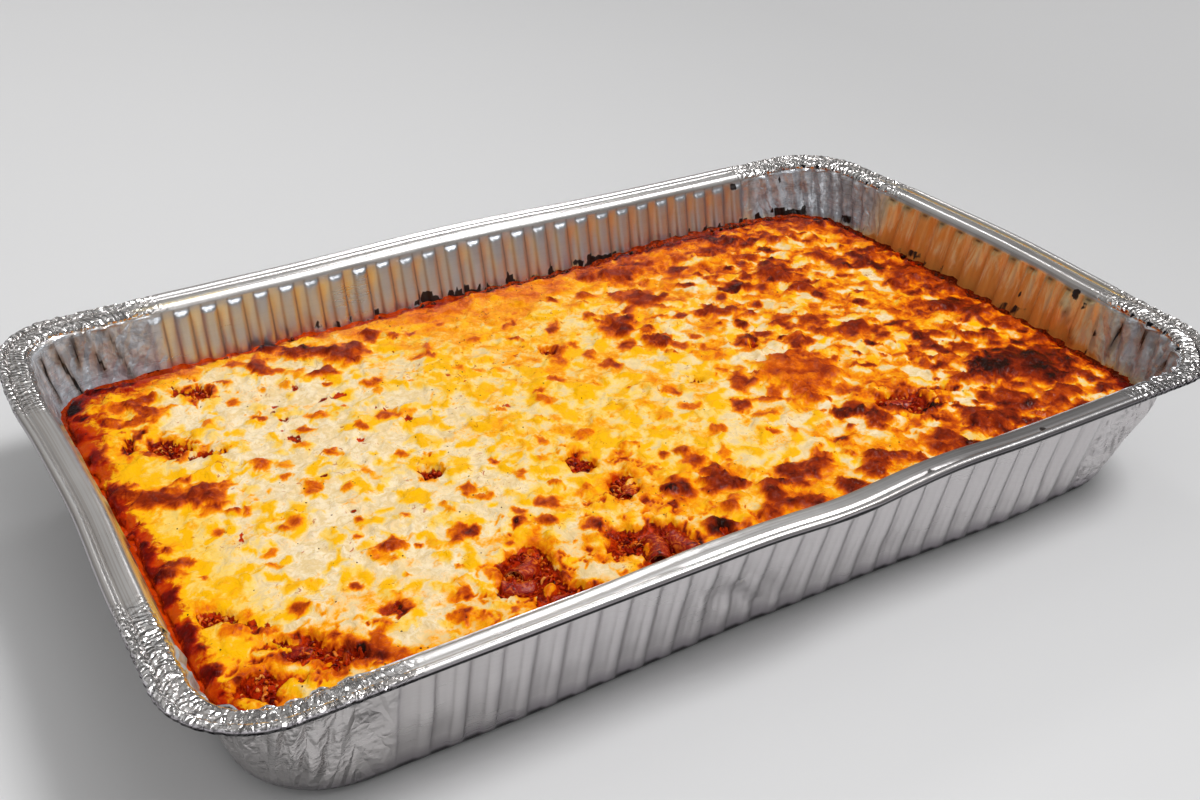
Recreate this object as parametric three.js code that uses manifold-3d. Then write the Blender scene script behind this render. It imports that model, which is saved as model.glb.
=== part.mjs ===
// Full-size foil tray of baked pasta: a pressed aluminium tray, the sauced pasta that
// fills its lower half, and the melted cheese that covers the pasta.
// Millimetres, +Z up, origin at the middle of the tray's base. X runs along the tray.

import * as THREE from "three";
import { mergeVertices } from "three/addons/utils/BufferGeometryUtils.js";
import Module from "manifold-3d";

const wasm = await Module();
wasm.setup();

// ---------------------------------------------------------------- driving dimensions

// Tray
const rimLength = 527;
const rimWidth = 325;
const trayDepth = 76;
const foil = 0.7;
const rimCornerRadii = [47, 48, 34, 40]; // near right, far right, far left, near left
const leastShoulderRadius = 24;
const baseCornerRadius = 43;
const baseEdgeRadius = 8;
const wallSlope = 0.23;

// Rim, from its outer edge inwards
const beadRadius = 2.1;
const flangeDrop = 1;
const grooveDrop = 2.2;
const flangeInset = 12.3;
const shoulderInset = 14.7;
const shoulderDrop = 5;
const nearFlangeSag = 2;

// Pressed ribs in the walls
const ribPitch = 14;
const ribDepth = 2.2;
const ribsPerLongSide = 27;
const ribsPerShortSide = 12;
const ribHeadDrop = 10;
const creasesPerCorner = 6;
const creaseDepth = 0.9;

// Food
const pastaLevel = 39.5;
const sauceClimb = 3.2;
const sauceBand = 4;
const foodGap = 0.45;
const cheeseGap = 0.35;
const cheeseThickness = 4.5;
const cheeseBorder = { near: 1.8, right: 2.6, far: 3.4, left: 1 };
const cheeseCell = 15;
const domeFoot = 1.2;
const moundHeight = 3.6;
const tubeRadius = 6;
const tubeBore = 4.2;

// Where the tray's sides have been pushed out of line by handling and by the weight of the
// food. Each bend has its side, its place along that side, its reach and its depth outwards,
// and is deepest at the rim, or at the base where it is low.
const bends = [
  { side: "far", at: -10, reach: 75, depth: 5.2 },
  { side: "near", at: 10, reach: 28, depth: 3 },
  { side: "near", at: 75, reach: 25, depth: -1.2 },
  { side: "right", at: -5, reach: 55, depth: 3.7 },
  { side: "right", at: 115, reach: 25, depth: -4 },
  { side: "left", at: -8, reach: 40, depth: -1.7 },
  { side: "left", at: 92, reach: 30, depth: 2.4 },
  { side: "near", at: 125, reach: 60, depth: 2.6, low: true },
  { side: "near", at: -127, reach: 50, depth: 1.2, low: true },
];

// Openings in the cheese where sauce and pasta show: middle, half sizes and turn in degrees.
const sauceHoles = [
  [-204, -94, 12, 7, -35],
  [-105, -96, 17, 14, 65],
  [-98, -120, 15, 6, -30],
  [-46, -110, 19, 14, -20],
  [-37, -65, 13, 10, 55],
  [-47, -38, 9, 7, -27],
  [-108, -13, 8, 7, 0],
  [-206, 67, 13, 8, -50],
  [-180, 109, 10, 6, -35],
  [-221, -106, 9, 9, 0],
  [122, -71, 13, 8, -22],
];

// Browned blisters in the cheese: middle, half sizes, turn in degrees and height.
const blisters = [
  [95, -27, 23, 19, -6, 2.6],
  [198, -76, 25, 13, -23, 3.4],
  [50, -97, 11, 9, 17, 5],
  [34, -94, 8, 7, 15, 4.5],
  [27, -118, 11, 7, -24, 5],
  [1, -87, 11, 9, -19, 3.6],
  [-212, 22, 20, 9, -38, 3],
  [-104, 108, 16, 10, -35, 3.2],
  [-120, 120, 12, 8, -40, 2.8],
  [40, 63, 13, 9, 50, 3],
  [66, 82, 13, 9, -26, 2.4],
  [148, -108, 15, 10, -7, 3.2],
  [225, 36, 12, 10, 0, 3.6],
  [153, -3, 11, 7, -23, 2.6],
  [-18, -113, 8, 7, -13, 3.4],
];

// Tubes of pasta that poke through: middle, height of the axis over the pasta and the
// direction in which the open end points, in degrees.
const pastaTubes = [
  { x: -51, y: -108, lift: 1.6, length: 22, turn: -112 },
  { x: -38, y: -109, lift: 0.8, length: 20, turn: -95 },
  { x: -101, y: -93, lift: 1.2, length: 20, turn: -140 },
  { x: -110, y: -98, lift: 0.4, length: 18, turn: 160 },
  { x: -37, y: -65, lift: 0.2, length: 15, turn: -120 },
];

// ---------------------------------------------------------------- small helpers

const radians = THREE.MathUtils.degToRad;
const clamp = THREE.MathUtils.clamp;
const smoothstep = THREE.MathUtils.smoothstep;

// Value noise from -1 to 1, the same on every run.
function lattice(i, j, seed) {
  const wave = Math.sin(i * 127.1 + j * 311.7 + seed * 74.7) * 43758.5453;
  return 2 * (wave - Math.floor(wave)) - 1;
}

function softNoise(x, y, cell, seed) {
  const i = Math.floor(x / cell);
  const j = Math.floor(y / cell);
  const u = smoothstep(x / cell - i, 0, 1);
  const v = smoothstep(y / cell - j, 0, 1);
  const low = THREE.MathUtils.lerp(lattice(i, j, seed), lattice(i + 1, j, seed), u);
  const high = THREE.MathUtils.lerp(lattice(i, j + 1, seed), lattice(i + 1, j + 1, seed), u);
  return THREE.MathUtils.lerp(low, high, v);
}

function solidGeometry(positions, triangles) {
  const geometry = new THREE.BufferGeometry();
  geometry.setAttribute("position", new THREE.Float32BufferAttribute(positions, 3));
  geometry.setIndex(triangles);
  return geometry;
}

function toManifold(geometry) {
  const bare = geometry.clone();
  bare.deleteAttribute("normal");
  bare.deleteAttribute("uv");
  const merged = mergeVertices(bare, 1e-4);
  return new wasm.Manifold(new wasm.Mesh({
    numProp: 3,
    vertProperties: new Float32Array(merged.attributes.position.array),
    triVerts: new Uint32Array(merged.index.array),
  }));
}

function fromManifold(solid) {
  const mesh = solid.getMesh();
  return solidGeometry(Array.from(mesh.vertProperties), Array.from(mesh.triVerts));
}

// ---------------------------------------------------------------- the way round the tray

// The four sides, anticlockwise from the near one. Each has its direction, its outward
// normal and the half length of the stretch that the ribs take.
const ribbedLong = ribPitch * ribsPerLongSide / 2;
const ribbedShort = ribPitch * ribsPerShortSide / 2;
const cornerStartMargin = 10;
const sides = [
  { name: "near", along: [1, 0], out: [0, -1], ribbed: ribbedLong, ribs: ribsPerLongSide },
  { name: "right", along: [0, 1], out: [1, 0], ribbed: ribbedShort, ribs: ribsPerShortSide },
  { name: "far", along: [-1, 0], out: [0, 1], ribbed: ribbedLong, ribs: ribsPerLongSide },
  { name: "left", along: [0, -1], out: [-1, 0], ribbed: ribbedShort, ribs: ribsPerShortSide },
];
const cornerStart = (side) => side.ribbed + cornerStartMargin;

// Stations at given phases of each rib, each phase with how far it is pressed out.
function ribStations(phases) {
  const stations = [];
  sides.forEach((side, index) => {
    const pitch = 2 * side.ribbed / side.ribs;
    for (let rib = 0; rib < side.ribs; rib += 1) {
      for (const [phase, press] of phases) {
        const place = -side.ribbed + (rib + phase) * pitch;
        stations.push({ side: index, place, press: press / 2 });
      }
    }
    addCorner(stations, index, 2 * creasesPerCorner);
  });
  return withParameters(stations);
}

// Stations for the smooth bands, such as the rim and the base. They lie closer together
// towards the corners, where the base already curves.
function smoothStations(longSteps, shortSteps, cornerSteps) {
  const stations = [];
  sides.forEach((side, index) => {
    const steps = index % 2 === 0 ? longSteps : shortSteps;
    const start = cornerStart(side);
    for (let step = 0; step < steps; step += 1) {
      const place = start * Math.sin(Math.PI * (step / steps - 0.5));
      stations.push({ side: index, place, press: 0 });
    }
    addCorner(stations, index, cornerSteps);
  });
  return withParameters(stations);
}

// A corner's stations are folded in and out by turns, as its creases are.
function addCorner(stations, index, steps) {
  for (let step = 0; step < steps; step += 1) {
    const fold = step === 0 ? 0 : (step % 2 ? 1 : -1);
    stations.push({ side: index, corner: step / steps, fold, press: 0 });
  }
}

// Each station's parameter grows by one for each side with its corner.
function withParameters(stations) {
  const straightShare = 0.7;
  return stations.map((station) => {
    const start = cornerStart(sides[station.side]);
    const share = station.corner === undefined
      ? straightShare * (station.place + start) / (2 * start)
      : straightShare + (1 - straightShare) * station.corner;
    return { ...station, parameter: station.side + share };
  });
}

// The point where a rounded rectangle passes a station, with the outward direction there.
// The rectangle has a radius for the corner after each side.
function outlinePoint(station, halfLength, halfWidth, radii) {
  const isPastMiddle = station.corner !== undefined || station.place > 0;
  const radius = radii[isPastMiddle ? station.side : (station.side + 3) % 4];
  const side = sides[station.side];
  const next = sides[(station.side + 1) % 4];
  const isLong = station.side % 2 === 0;
  const reach = isLong ? halfLength : halfWidth;
  const depth = isLong ? halfWidth : halfLength;
  const at = (p, q, turn) => ({
    x: side.along[0] * p + side.out[0] * q,
    y: side.along[1] * p + side.out[1] * q,
    outX: side.along[0] * Math.sin(turn) + side.out[0] * Math.cos(turn),
    outY: side.along[1] * Math.sin(turn) + side.out[1] * Math.cos(turn),
  });
  if (station.corner === undefined) {
    const over = Math.max(0, Math.abs(station.place) - (reach - radius));
    return at(station.place, depth - radius + Math.sqrt(radius ** 2 - over ** 2), 0);
  }
  const start = cornerStart(side);
  const end = cornerStart(next);
  const firstStraight = Math.max(0, reach - radius - start);
  const lastStraight = Math.max(0, depth - radius - end);
  const firstTurn = Math.asin(Math.max(0, (start - (reach - radius)) / radius));
  const lastTurn = Math.acos(Math.max(0, (end - (depth - radius)) / radius));
  const arc = radius * (lastTurn - firstTurn);
  const travelled = station.corner * (firstStraight + arc + lastStraight);
  if (travelled < firstStraight) {
    return at(start + travelled, depth, 0);
  }
  if (travelled < firstStraight + arc) {
    const turn = firstTurn + (travelled - firstStraight) / radius;
    return at(reach - radius + radius * Math.sin(turn),
      depth - radius + radius * Math.cos(turn), turn);
  }
  return at(reach, depth - radius - (travelled - firstStraight - arc), Math.PI / 2);
}

// The bends move everything in and on the tray.
const lowBendEdge = 0.75;
function bent(x, y, z) {
  const lift = clamp(z / trayDepth, 0, 1);
  let shiftX = 0;
  let shiftY = 0;
  for (const bend of bends) {
    const side = sides.find((entry) => entry.name === bend.side);
    const isLong = side.out[0] === 0;
    const place = isLong ? x : y;
    const across = isLong ? y * side.out[1] / (rimWidth / 2) : x * side.out[0] / (rimLength / 2);
    const share = bend.low
      ? (1 - lift) * clamp(across / lowBendEdge, 0, 1) ** 3
      : lift * Math.max(0, across) ** 3;
    const push = bend.depth * Math.exp(-(((place - bend.at) / bend.reach) ** 2)) * share;
    shiftX += side.out[0] * push;
    shiftY += side.out[1] * push;
  }
  return [x + shiftX, y + shiftY, z];
}

// A closed loop round the tray. A level has its inset from the rim's outer edge, its
// height, its corner radii, and how much of the ribs and creases it shows.
function loopAt(level, stations) {
  return stations.map((station) => {
    const point = outlinePoint(
      station, rimLength / 2 - level.inset, rimWidth / 2 - level.inset, level.radii);
    const press = (level.ribs ?? 0) * station.press * ribDepth;
    const fold = (level.creases ?? 0) * (station.fold ?? 0) * creaseDepth / 2;
    const out = press + fold;
    const height = typeof level.z === "function" ? level.z(point.x, point.y) : level.z;
    return {
      parameter: station.parameter,
      position: bent(point.x + point.outX * out, point.y + point.outY * out, height),
    };
  });
}

// Triangles between two loops, which may have different numbers of points.
function addBand(triangles, lower, lowerStart, upper, upperStart) {
  let i = 0;
  let j = 0;
  while (i < lower.length || j < upper.length) {
    const lowerNext = i < lower.length ? (lower[i + 1]?.parameter ?? sides.length) : Infinity;
    const upperNext = j < upper.length ? (upper[j + 1]?.parameter ?? sides.length) : Infinity;
    const a = lowerStart + i % lower.length;
    const b = upperStart + j % upper.length;
    if (lowerNext <= upperNext) {
      triangles.push(a, lowerStart + (i + 1) % lower.length, b);
      i += 1;
    } else {
      triangles.push(a, upperStart + (j + 1) % upper.length, b);
      j += 1;
    }
  }
}

// A solid from loops in order, closed at both ends by a fan round its middle.
function solidFromLoops(loops, firstMiddle, lastMiddle) {
  const positions = [];
  const triangles = [];
  const starts = loops.map((loop) => {
    const start = positions.length / 3;
    loop.forEach((entry) => positions.push(...entry.position));
    return start;
  });
  loops.slice(1).forEach((loop, index) => {
    addBand(triangles, loops[index], starts[index], loop, starts[index + 1]);
  });
  addFan(positions, triangles, loops[0].length, starts[0], firstMiddle, true);
  addFan(positions, triangles, loops.at(-1).length, starts.at(-1), lastMiddle, false);
  return solidGeometry(positions, triangles);
}

function addFan(positions, triangles, count, start, middle, facesDown) {
  const centre = positions.length / 3;
  positions.push(...middle);
  for (let i = 0; i < count; i += 1) {
    const a = start + i;
    const b = start + (i + 1) % count;
    triangles.push(...(facesDown ? [b, a, centre] : [a, b, centre]));
  }
}

// ---------------------------------------------------------------- tray

const shoulderHeight = trayDepth - shoulderDrop;
const wallLength = Math.hypot(1, wallSlope);
const wallAngle = Math.atan(wallSlope);
const shoulderCornerRadii = rimCornerRadii.map(
  (radius) => Math.max(leastShoulderRadius, radius - shoulderInset));

// Inset of the wall's inner face at a height.
function wallInset(z) {
  return shoulderInset + wallSlope * (shoulderHeight - z);
}

// The corners open out from the shoulder to the base, most of it near the base.
function wallCornerRadii(z) {
  const share = clamp((shoulderHeight - z) / shoulderHeight, 0, 1) ** 2.5;
  return shoulderCornerRadii.map(
    (radius) => THREE.MathUtils.lerp(radius, baseCornerRadius, share));
}

function rimLevel(inset, z) {
  return { inset, z, radii: rimCornerRadii.map((radius) => radius - inset) };
}

// The inner part of the flange, which sags a little towards both ends of the near side.
function flangeLevel(inset, z) {
  const sagging = (x, y) => z - nearFlangeSag
    * smoothstep(Math.abs(x), 50, 130) * smoothstep(-y, 120, 145);
  return { ...rimLevel(inset, sagging), creases: 0.8 };
}

// The rounded edge of the base, from the flat up to the wall. The outer face has the
// larger radius, by the foil's thickness.
function baseEdgeLevels(offset, radius, turns) {
  const centreHeight = foil + baseEdgeRadius;
  const centreInset = wallInset(centreHeight) + baseEdgeRadius * wallLength;
  return turns.map((turn) => {
    const angle = turn * (Math.PI / 2 - wallAngle);
    const z = centreHeight - radius * Math.cos(angle);
    const isWall = turn === 1;
    return {
      inset: centreInset - radius * Math.sin(angle) + offset,
      z,
      radii: wallCornerRadii(z),
      ribs: isWall ? 1 : 0,
      creases: isWall ? 1 : 0,
      fades: turn > 0 && turn < 1,
    };
  });
}

function wallLevel(z, outwards, shown) {
  return {
    inset: wallInset(z) - outwards * foil * wallLength,
    z,
    radii: wallCornerRadii(z),
    ribs: shown,
    creases: shown,
  };
}

function shoulderLevel(outwards) {
  return { ...wallLevel(shoulderHeight, outwards, 0), creases: 0.8, fades: true };
}

// The bead is a roll of foil, so it is solid.
function beadLevels() {
  const turns = [50, 95, 150, 205, 255, 310];
  return turns.map((turn) => rimLevel(
    beadRadius + beadRadius * Math.cos(radians(turn)),
    trayDepth - beadRadius + beadRadius * Math.sin(radians(turn))));
}

function foilTray() {
  // four stations give a rib its flat crest and flat valley, and two are enough where it fades
  const ribbed = ribStations([[0.1, 1], [0.4, 1], [0.6, -1], [0.9, -1]]);
  const fading = ribStations([[0.25, 0], [0.75, 0]]);
  const smooth = smoothStations(10, 6, 2 * creasesPerCorner);
  const flangeTop = trayDepth - flangeDrop;
  const headHeight = trayDepth - ribHeadDrop;
  const innerEdge = baseEdgeLevels(0, baseEdgeRadius, [0, 0.5, 1]);
  const outerEdge = baseEdgeLevels(0, baseEdgeRadius + foil, [1, 0.5, 0]);
  const levels = [
    // inner face, from the base up
    ...innerEdge,
    wallLevel(headHeight, 0, 1),
    shoulderLevel(0),
    flangeLevel(flangeInset + 1.1, flangeTop - 1.6),
    flangeLevel(flangeInset, flangeTop),
    rimLevel(2 * beadRadius + 1.4, flangeTop),
    rimLevel(2 * beadRadius + 0.2, trayDepth - grooveDrop),
    ...beadLevels(),
    // outer face, from the rim down
    rimLevel(2 * beadRadius + 0.7, trayDepth - grooveDrop - foil),
    rimLevel(2 * beadRadius + 1.8, flangeTop - foil),
    flangeLevel(flangeInset - 0.4, flangeTop - foil),
    flangeLevel(flangeInset + 0.4, flangeTop - 1.9),
    shoulderLevel(1),
    wallLevel(headHeight, 1, 1),
    ...outerEdge,
  ];
  const stationsOf = (level) => (level.ribs ? ribbed : level.fades ? fading : smooth);
  const loops = levels.map((level) => loopAt(level, stationsOf(level)));
  // the loops run up the inside and down the outside, so the solid is turned inside out
  const geometry = solidFromLoops(loops, [0, 0, foil], [0, 0, 0]);
  geometry.index.array.forEach((_, i, index) => {
    if (i % 3 === 1) {
      [index[i], index[i + 1]] = [index[i + 1], index[i]];
    }
  });
  return geometry;
}

// ---------------------------------------------------------------- sauced pasta

// The sauce stands a little higher at the wall, and climbs most in the far right corner.
function sauceHeight(x, y) {
  const farRight = 5 * Math.exp(-(((x - 150) / 60) ** 2) - (((y - 140) / 40) ** 2));
  return pastaLevel + sauceClimb + farRight + 0.6 * softNoise(x, y, 24, 3);
}

// The food keeps clear of the deepest ribs and creases.
function foodLevel(z, inwards, surface) {
  const gap = foodGap + ribDepth / 2 + creaseDepth / 2;
  return { inset: wallInset(z) + gap + inwards, z: surface ?? z, radii: wallCornerRadii(z) };
}

function pastaBlock() {
  const stations = smoothStations(14, 10, 2 * creasesPerCorner);
  const floor = foil + foodGap;
  const foot = baseEdgeLevels(0, baseEdgeRadius, [0, 0.5]).map((level) => ({
    inset: level.inset + foodGap + ribDepth / 2,
    z: Math.max(level.z + foodGap, floor),
    radii: level.radii,
  }));
  const levels = [
    ...foot,
    foodLevel(foil + baseEdgeRadius, 0),
    foodLevel(pastaLevel, 0, sauceHeight),
    foodLevel(pastaLevel, sauceBand / 2, (x, y) => (sauceHeight(x, y) + pastaLevel) / 2),
    foodLevel(pastaLevel, sauceBand),
  ];
  const loops = levels.map((level) => loopAt(level, stations));
  return solidFromLoops(loops, [0, 0, floor], [0, 0, pastaLevel]);
}

// A low dome of sauce or cheese on a shallow foot, sunk into what it lies on.
function dome(x, y, z, halfLength, halfWidth, height, turn) {
  const profile = [[0, -domeFoot], [1, 0], [0.8, 0.55 * height], [0.42, 0.9 * height], [0, height]];
  const points = profile.map(([across, level]) => new THREE.Vector2(across, level));
  const geometry = new THREE.LatheGeometry(points, 9);
  geometry.rotateX(Math.PI / 2);
  geometry.scale(halfLength, halfWidth, 1);
  geometry.rotateZ(radians(turn));
  geometry.translate(x, y, z);
  return toManifold(geometry);
}

// A short tube whose open end shows, as a bore that stops half way. Grown by a clearance,
// it is the room that the cheese leaves round the tube.
function pastaTube(tube, clearance) {
  const radius = tubeRadius + clearance;
  const end = tube.length / 2 + clearance;
  const bore = clearance > 0
    ? [[0, end]]
    : [[tubeBore, end], [tubeBore, end - tubeRadius], [0, end - tubeRadius]];
  const profile = [[0, -end], [radius, -end], [radius, end], ...bore];
  const points = profile.map(([across, height]) => new THREE.Vector2(across, height));
  const geometry = new THREE.LatheGeometry(points, 12);
  geometry.rotateZ(-Math.PI / 2);
  geometry.rotateY(-radians(8));
  geometry.rotateZ(radians(tube.turn));
  geometry.translate(tube.x, tube.y, pastaLevel + tube.lift);
  return toManifold(geometry);
}

// What stands up through the cheese: the tubes, and a mound of sauce in each opening.
function pokingThrough(clearance) {
  const tubes = pastaTubes.map((tube) => pastaTube(tube, clearance));
  const mounds = sauceHoles.map(([x, y, a, b, turn], index) => dome(
    x, y, pastaLevel, 0.72 * a + clearance, 0.66 * b + clearance,
    moundHeight + 0.9 * lattice(index, 2, 8) + clearance, turn));
  return [...tubes, ...mounds];
}

function saucedPasta() {
  return fromManifold(pokingThrough(0).reduce(
    (whole, piece) => whole.add(piece), toManifold(pastaBlock())));
}

// ---------------------------------------------------------------- melted cheese

// The cheese thins towards its edge and lies in soft waves over the pasta.
function cheeseHeight(x, y) {
  const edge = Math.min(rimLength / 2 - 24 - Math.abs(x), rimWidth / 2 - 24 - Math.abs(y));
  const crown = smoothstep(edge, -4, 26);
  const waves = 1.1 * softNoise(x, y, 46, 11) + 0.9 * softNoise(x, y, 23, 12);
  return pastaLevel + cheeseGap + 1.4 + crown * (cheeseThickness - 1.4) + (0.3 + crown) * waves;
}

// A slab with an uneven top and a flat underside.
function cheeseSlab() {
  const columns = Math.round((rimLength - 40) / cheeseCell);
  const rows = Math.round((rimWidth - 40) / cheeseCell);
  const positions = [];
  const triangles = [];
  for (let j = 0; j <= rows; j += 1) {
    for (let i = 0; i <= columns; i += 1) {
      const x = (i / columns - 0.5) * (rimLength - 40);
      const y = (j / rows - 0.5) * (rimWidth - 40);
      positions.push(x, y, cheeseHeight(x, y));
    }
  }
  const top = (i, j) => j * (columns + 1) + i;
  for (let j = 0; j < rows; j += 1) {
    for (let i = 0; i < columns; i += 1) {
      triangles.push(top(i, j), top(i + 1, j), top(i + 1, j + 1));
      triangles.push(top(i, j), top(i + 1, j + 1), top(i, j + 1));
    }
  }
  const border = [];
  for (let i = 0; i < columns; i += 1) border.push(top(i, 0));
  for (let j = 0; j < rows; j += 1) border.push(top(columns, j));
  for (let i = columns; i > 0; i -= 1) border.push(top(i, rows));
  for (let j = rows; j > 0; j -= 1) border.push(top(0, j));
  const underside = positions.length / 3;
  border.forEach((k) => {
    positions.push(positions[3 * k], positions[3 * k + 1], pastaLevel + cheeseGap);
  });
  border.forEach((k, n) => {
    const after = (n + 1) % border.length;
    triangles.push(underside + n, underside + after, border[after]);
    triangles.push(underside + n, border[after], k);
  });
  addFan(positions, triangles, border.length, underside,
    [0, 0, pastaLevel + cheeseGap], true);
  return toManifold(solidGeometry(positions, triangles));
}

// The cheese's outline keeps an uneven distance from the wall, and the sauce shows there.
function cheeseOutline() {
  const stations = smoothStations(28, 14, 8);
  const edge = foodLevel(pastaLevel, sauceBand + cheeseGap);
  return stations.map((station) => {
    const point = outlinePoint(
      station, rimLength / 2 - edge.inset, rimWidth / 2 - edge.inset, edge.radii);
    const farLeft = 5 * Math.exp(-(((point.x + 225) / 35) ** 2) - (((point.y - 120) / 35) ** 2));
    const border = (point.outX > 0 ? cheeseBorder.right : cheeseBorder.left) * point.outX ** 2
      + (point.outY > 0 ? cheeseBorder.far : cheeseBorder.near) * point.outY ** 2;
    const wander = border + 2 * softNoise(point.x, point.y, 26, 21)
      + 1.4 * softNoise(point.x, point.y, 9, 22) + farLeft;
    const inwards = Math.max(cheeseGap, wander);
    const [x, y] = bent(point.x, point.y, pastaLevel);
    return new THREE.Vector2(x - point.outX * inwards, y - point.outY * inwards);
  });
}

function upright(shape) {
  const prism = new THREE.ExtrudeGeometry(shape, { depth: 30, bevelEnabled: false, steps: 1 });
  prism.translate(0, 0, pastaLevel - 5);
  return toManifold(prism);
}

function sauceHole([x, y, a, b, turn], index) {
  const points = [];
  const steps = 11;
  for (let i = 0; i < steps; i += 1) {
    const angle = 2 * Math.PI * i / steps;
    const uneven = 1 + 0.16 * lattice(i, index, 5);
    const p = a * uneven * Math.cos(angle);
    const q = b * uneven * Math.sin(angle);
    const cos = Math.cos(radians(turn));
    const sin = Math.sin(radians(turn));
    points.push(new THREE.Vector2(x + p * cos - q * sin, y + p * sin + q * cos));
  }
  return upright(new THREE.Shape(points));
}

function meltedCheese() {
  const outline = upright(new THREE.Shape(cheeseOutline()));
  const bumps = blisters.map(([x, y, a, b, turn, height]) => dome(
    x, y, cheeseHeight(x, y) - 0.6, a, b, height, turn));
  const slab = bumps.reduce((whole, bump) => whole.add(bump), cheeseSlab());
  const aboveSauce = new THREE.BoxGeometry(rimLength, rimWidth, trayDepth);
  aboveSauce.translate(0, 0, pastaLevel + cheeseGap + trayDepth / 2);
  const trimmed = slab.intersect(toManifold(aboveSauce)).intersect(outline);
  const cuts = [...sauceHoles.map(sauceHole), ...pokingThrough(foodGap)];
  return fromManifold(cuts.reduce((whole, cut) => whole.subtract(cut), trimmed));
}

// ---------------------------------------------------------------- the meal

const foilMaterial = new THREE.MeshStandardMaterial({
  color: 0xc9c7c4, roughness: 0.32, metalness: 1, flatShading: true });
const sauceMaterial = new THREE.MeshStandardMaterial({
  color: 0x8f2c0b, roughness: 0.42, metalness: 0, flatShading: true });
const cheeseMaterial = new THREE.MeshStandardMaterial({
  color: 0xefc46a, roughness: 0.48, metalness: 0, flatShading: true });

function namedMesh(name, geometry, material) {
  const mesh = new THREE.Mesh(geometry, material);
  mesh.name = name;
  return mesh;
}

const meal = new THREE.Group();
meal.add(namedMesh("foil_tray", foilTray(), foilMaterial));
meal.add(namedMesh("sauced_pasta", saucedPasta(), sauceMaterial));
meal.add(namedMesh("melted_cheese", meltedCheese(), cheeseMaterial));

export default meal;
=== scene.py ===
# A full-size foil tray of baked pasta: the pressed foil tray, the sauced pasta, the
# browned cheese over it, and the bits that lie on them. Blender works in metres here.
# The dictionaries and the numpy code are in millimetres, and meshFrom turns them over.
import math

import bpy
import mathutils
import numpy as np
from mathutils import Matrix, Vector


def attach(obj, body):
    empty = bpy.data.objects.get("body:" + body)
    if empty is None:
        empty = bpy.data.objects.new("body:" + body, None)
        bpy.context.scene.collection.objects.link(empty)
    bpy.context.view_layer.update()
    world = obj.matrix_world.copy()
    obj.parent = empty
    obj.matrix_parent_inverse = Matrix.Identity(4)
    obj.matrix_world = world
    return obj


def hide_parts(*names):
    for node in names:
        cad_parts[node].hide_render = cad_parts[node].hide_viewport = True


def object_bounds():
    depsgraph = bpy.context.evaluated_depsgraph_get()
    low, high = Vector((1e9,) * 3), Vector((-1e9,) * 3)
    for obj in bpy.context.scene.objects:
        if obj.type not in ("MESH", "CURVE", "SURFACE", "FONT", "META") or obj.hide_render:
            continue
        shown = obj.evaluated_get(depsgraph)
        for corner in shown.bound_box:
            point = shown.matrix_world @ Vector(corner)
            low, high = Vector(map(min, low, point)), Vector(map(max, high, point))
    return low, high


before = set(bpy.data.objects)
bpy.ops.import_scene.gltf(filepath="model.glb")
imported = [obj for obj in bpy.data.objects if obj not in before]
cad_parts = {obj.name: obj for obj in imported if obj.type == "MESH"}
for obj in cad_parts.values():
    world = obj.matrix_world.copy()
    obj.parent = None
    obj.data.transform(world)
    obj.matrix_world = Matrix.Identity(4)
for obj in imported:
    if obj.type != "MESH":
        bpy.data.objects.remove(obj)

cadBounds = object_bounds()
mm = 0.001


# helpers for arrays
def ease(low, high, value):
    share = np.clip((value - low) / (high - low), 0, 1)
    return share * share * (3 - 2 * share)


def mix(first, second, share):
    return first + (second - first) * share


noiseTables = {}


def softNoise(x, y, cell, seed):
    # value noise from -1 to 1, the same on every run
    size = 256
    if seed not in noiseTables:
        noiseTables[seed] = np.random.default_rng(seed).uniform(-1, 1, (size, size))
    table = noiseTables[seed]
    u, v = np.asarray(x) / cell + 0.37 * seed, np.asarray(y) / cell + 0.61 * seed
    i, j = np.floor(u).astype(int), np.floor(v).astype(int)
    su, sv = ease(0, 1, u - i), ease(0, 1, v - j)
    low = mix(table[i % size, j % size], table[(i + 1) % size, j % size], su)
    high = mix(table[i % size, (j + 1) % size], table[(i + 1) % size, (j + 1) % size], su)
    return mix(low, high, sv)


def roughNoise(x, y, cell, seed, octaves=3):
    total, weight = 0, 1
    for octave in range(octaves):
        total = total + weight * softNoise(x, y, cell / 2 ** octave, seed + octave)
        weight *= 0.55
    return total


def zigzag(distance, spacing, seed):
    # peaks and valleys by turns, at uneven distances
    draw = np.random.default_rng(seed)
    count = int(np.max(distance) / spacing / 0.55) + 4
    turns = np.cumsum(draw.uniform(0.55, 1.5, count) * spacing) - spacing
    heights = np.where(np.arange(count) % 2, 1, -1) * draw.uniform(0.3, 1, count)
    return np.interp(distance, turns, heights)


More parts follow.
